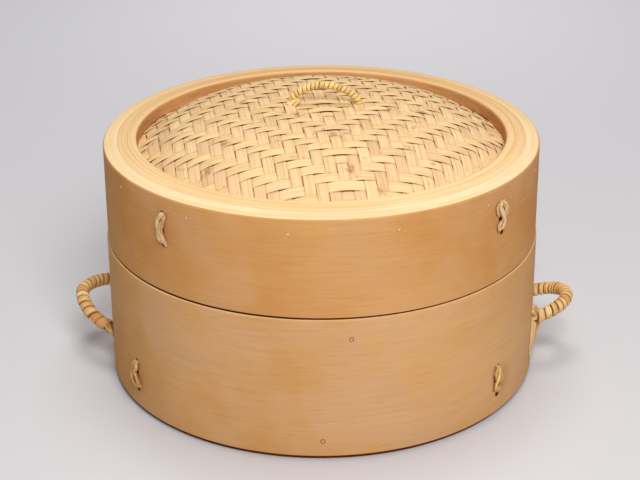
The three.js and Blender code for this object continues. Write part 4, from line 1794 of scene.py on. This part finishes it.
@dataclass
class Studio:
    """The floor, the lights and the camera, in metres."""

    floor_size: float = 8.0
    floor_turn: float = 1.6
    floor_bend: float = 1.2
    floor_top: float = 4.0
    floor_drop: float = 0.0002
    floor_steps: int = 12
    glow: Colour = (0.97, 0.98, 1.0, 1.0)
    glow_strength: float = 0.16
    camera_place: Spot = (0.0, -1.18170, 0.63463)
    camera_ahead: Spot = (-0.00108, 0.909887, -0.414855)
    camera_roll: float = -0.0060
    lens: float = 95.5

    def build(self) -> None:
        """Sets up the whole studio."""
        bpy.context.scene.view_settings.view_transform = "Standard"
        self.build_floor()
        self.build_world()
        self.lamp("key", (0.34, -1.8, 1.9), 1.1, 51.5)
        self.lamp("top", (0.02, 0.25, 2.3), 1.0, 20.0)
        self.lamp("backdrop", (0.05, 1.0, 0.7), 0.5, 2.0, aim=(0.05, 1.45, 0))
        self.build_camera()

    def build_floor(self) -> None:
        """Makes the floor, which turns up into a backdrop."""
        half = self.floor_size / 2
        rows = [(-half, 0.0), (self.floor_turn, 0.0)]
        for step in range(1, self.floor_steps + 1):
            angle = pi / 2 * step / self.floor_steps
            onward, up = self.floor_bend * sin(angle), self.floor_bend * (1 - cos(angle))
            rows.append((self.floor_turn + onward, up))
        rows.append((self.floor_turn + self.floor_bend, self.floor_top))
        form = Form()
        for y, z in rows:
            for x in (-half, half):
                form.add(Vector((x, y, z - self.floor_drop)) / MM)
        form.faces = [[2 * row, 2 * row + 1, 2 * row + 3, 2 * row + 2] for row in range(len(rows) - 1)]
        paint = FloorPaint("studio_floor", rough=0.8, gloss=0.2, depth=0.00005)
        form.build("studio_floor", paint)

    def build_world(self) -> None:
        """Lights the scene evenly from all round."""
        world = bpy.data.worlds.new("studio")
        world.use_nodes = True
        background = world.node_tree.nodes["Background"].inputs
        background["Color"].default_value = self.glow
        background["Strength"].default_value = self.glow_strength
        bpy.context.scene.world = world

    def lamp(self, name: str, place: Spot, size: float, power: float, aim: Spot = (0, 0, 0.1)) -> None:
        """Adds a soft square lamp.

        Args:
            name: The lamp's name.
            place: Where it hangs.
            size: Its side.
            power: Its power in watts.
            aim: Where it points.
        """
        light = bpy.data.lights.new(name, "AREA")
        light.size = size
        light.energy = power
        thing = link(name, light)
        thing.location = place
        thing.rotation_euler = (Vector(aim) - Vector(place)).to_track_quat("-Z", "Y").to_euler()

    def build_camera(self) -> None:
        """Sets the camera as the photograph was taken."""
        camera = bpy.data.cameras.new("camera")
        camera.sensor_width = 36.0
        camera.lens = self.lens
        thing = link("camera", camera)
        ahead = Vector(self.camera_ahead).normalized()
        level = ahead.cross(UP).normalized()
        up = level.cross(ahead).normalized()
        right = level * cos(self.camera_roll) + up * sin(self.camera_roll)
        above = up * cos(self.camera_roll) - level * sin(self.camera_roll)
        turn = Matrix((right, above, -ahead)).transposed()
        thing.matrix_world = Matrix.Translation(self.camera_place) @ turn.to_4x4()
        bpy.context.scene.camera = thing


def main() -> None:
    """Builds the studio, the tray and the lid."""
    logging.basicConfig(level=logging.INFO, format="%(name)s %(message)s")
    Studio().build()
    Tray(Body.TRAY).build()
    Lid(Body.LID).build()


if __name__ == "__main__":
    main()
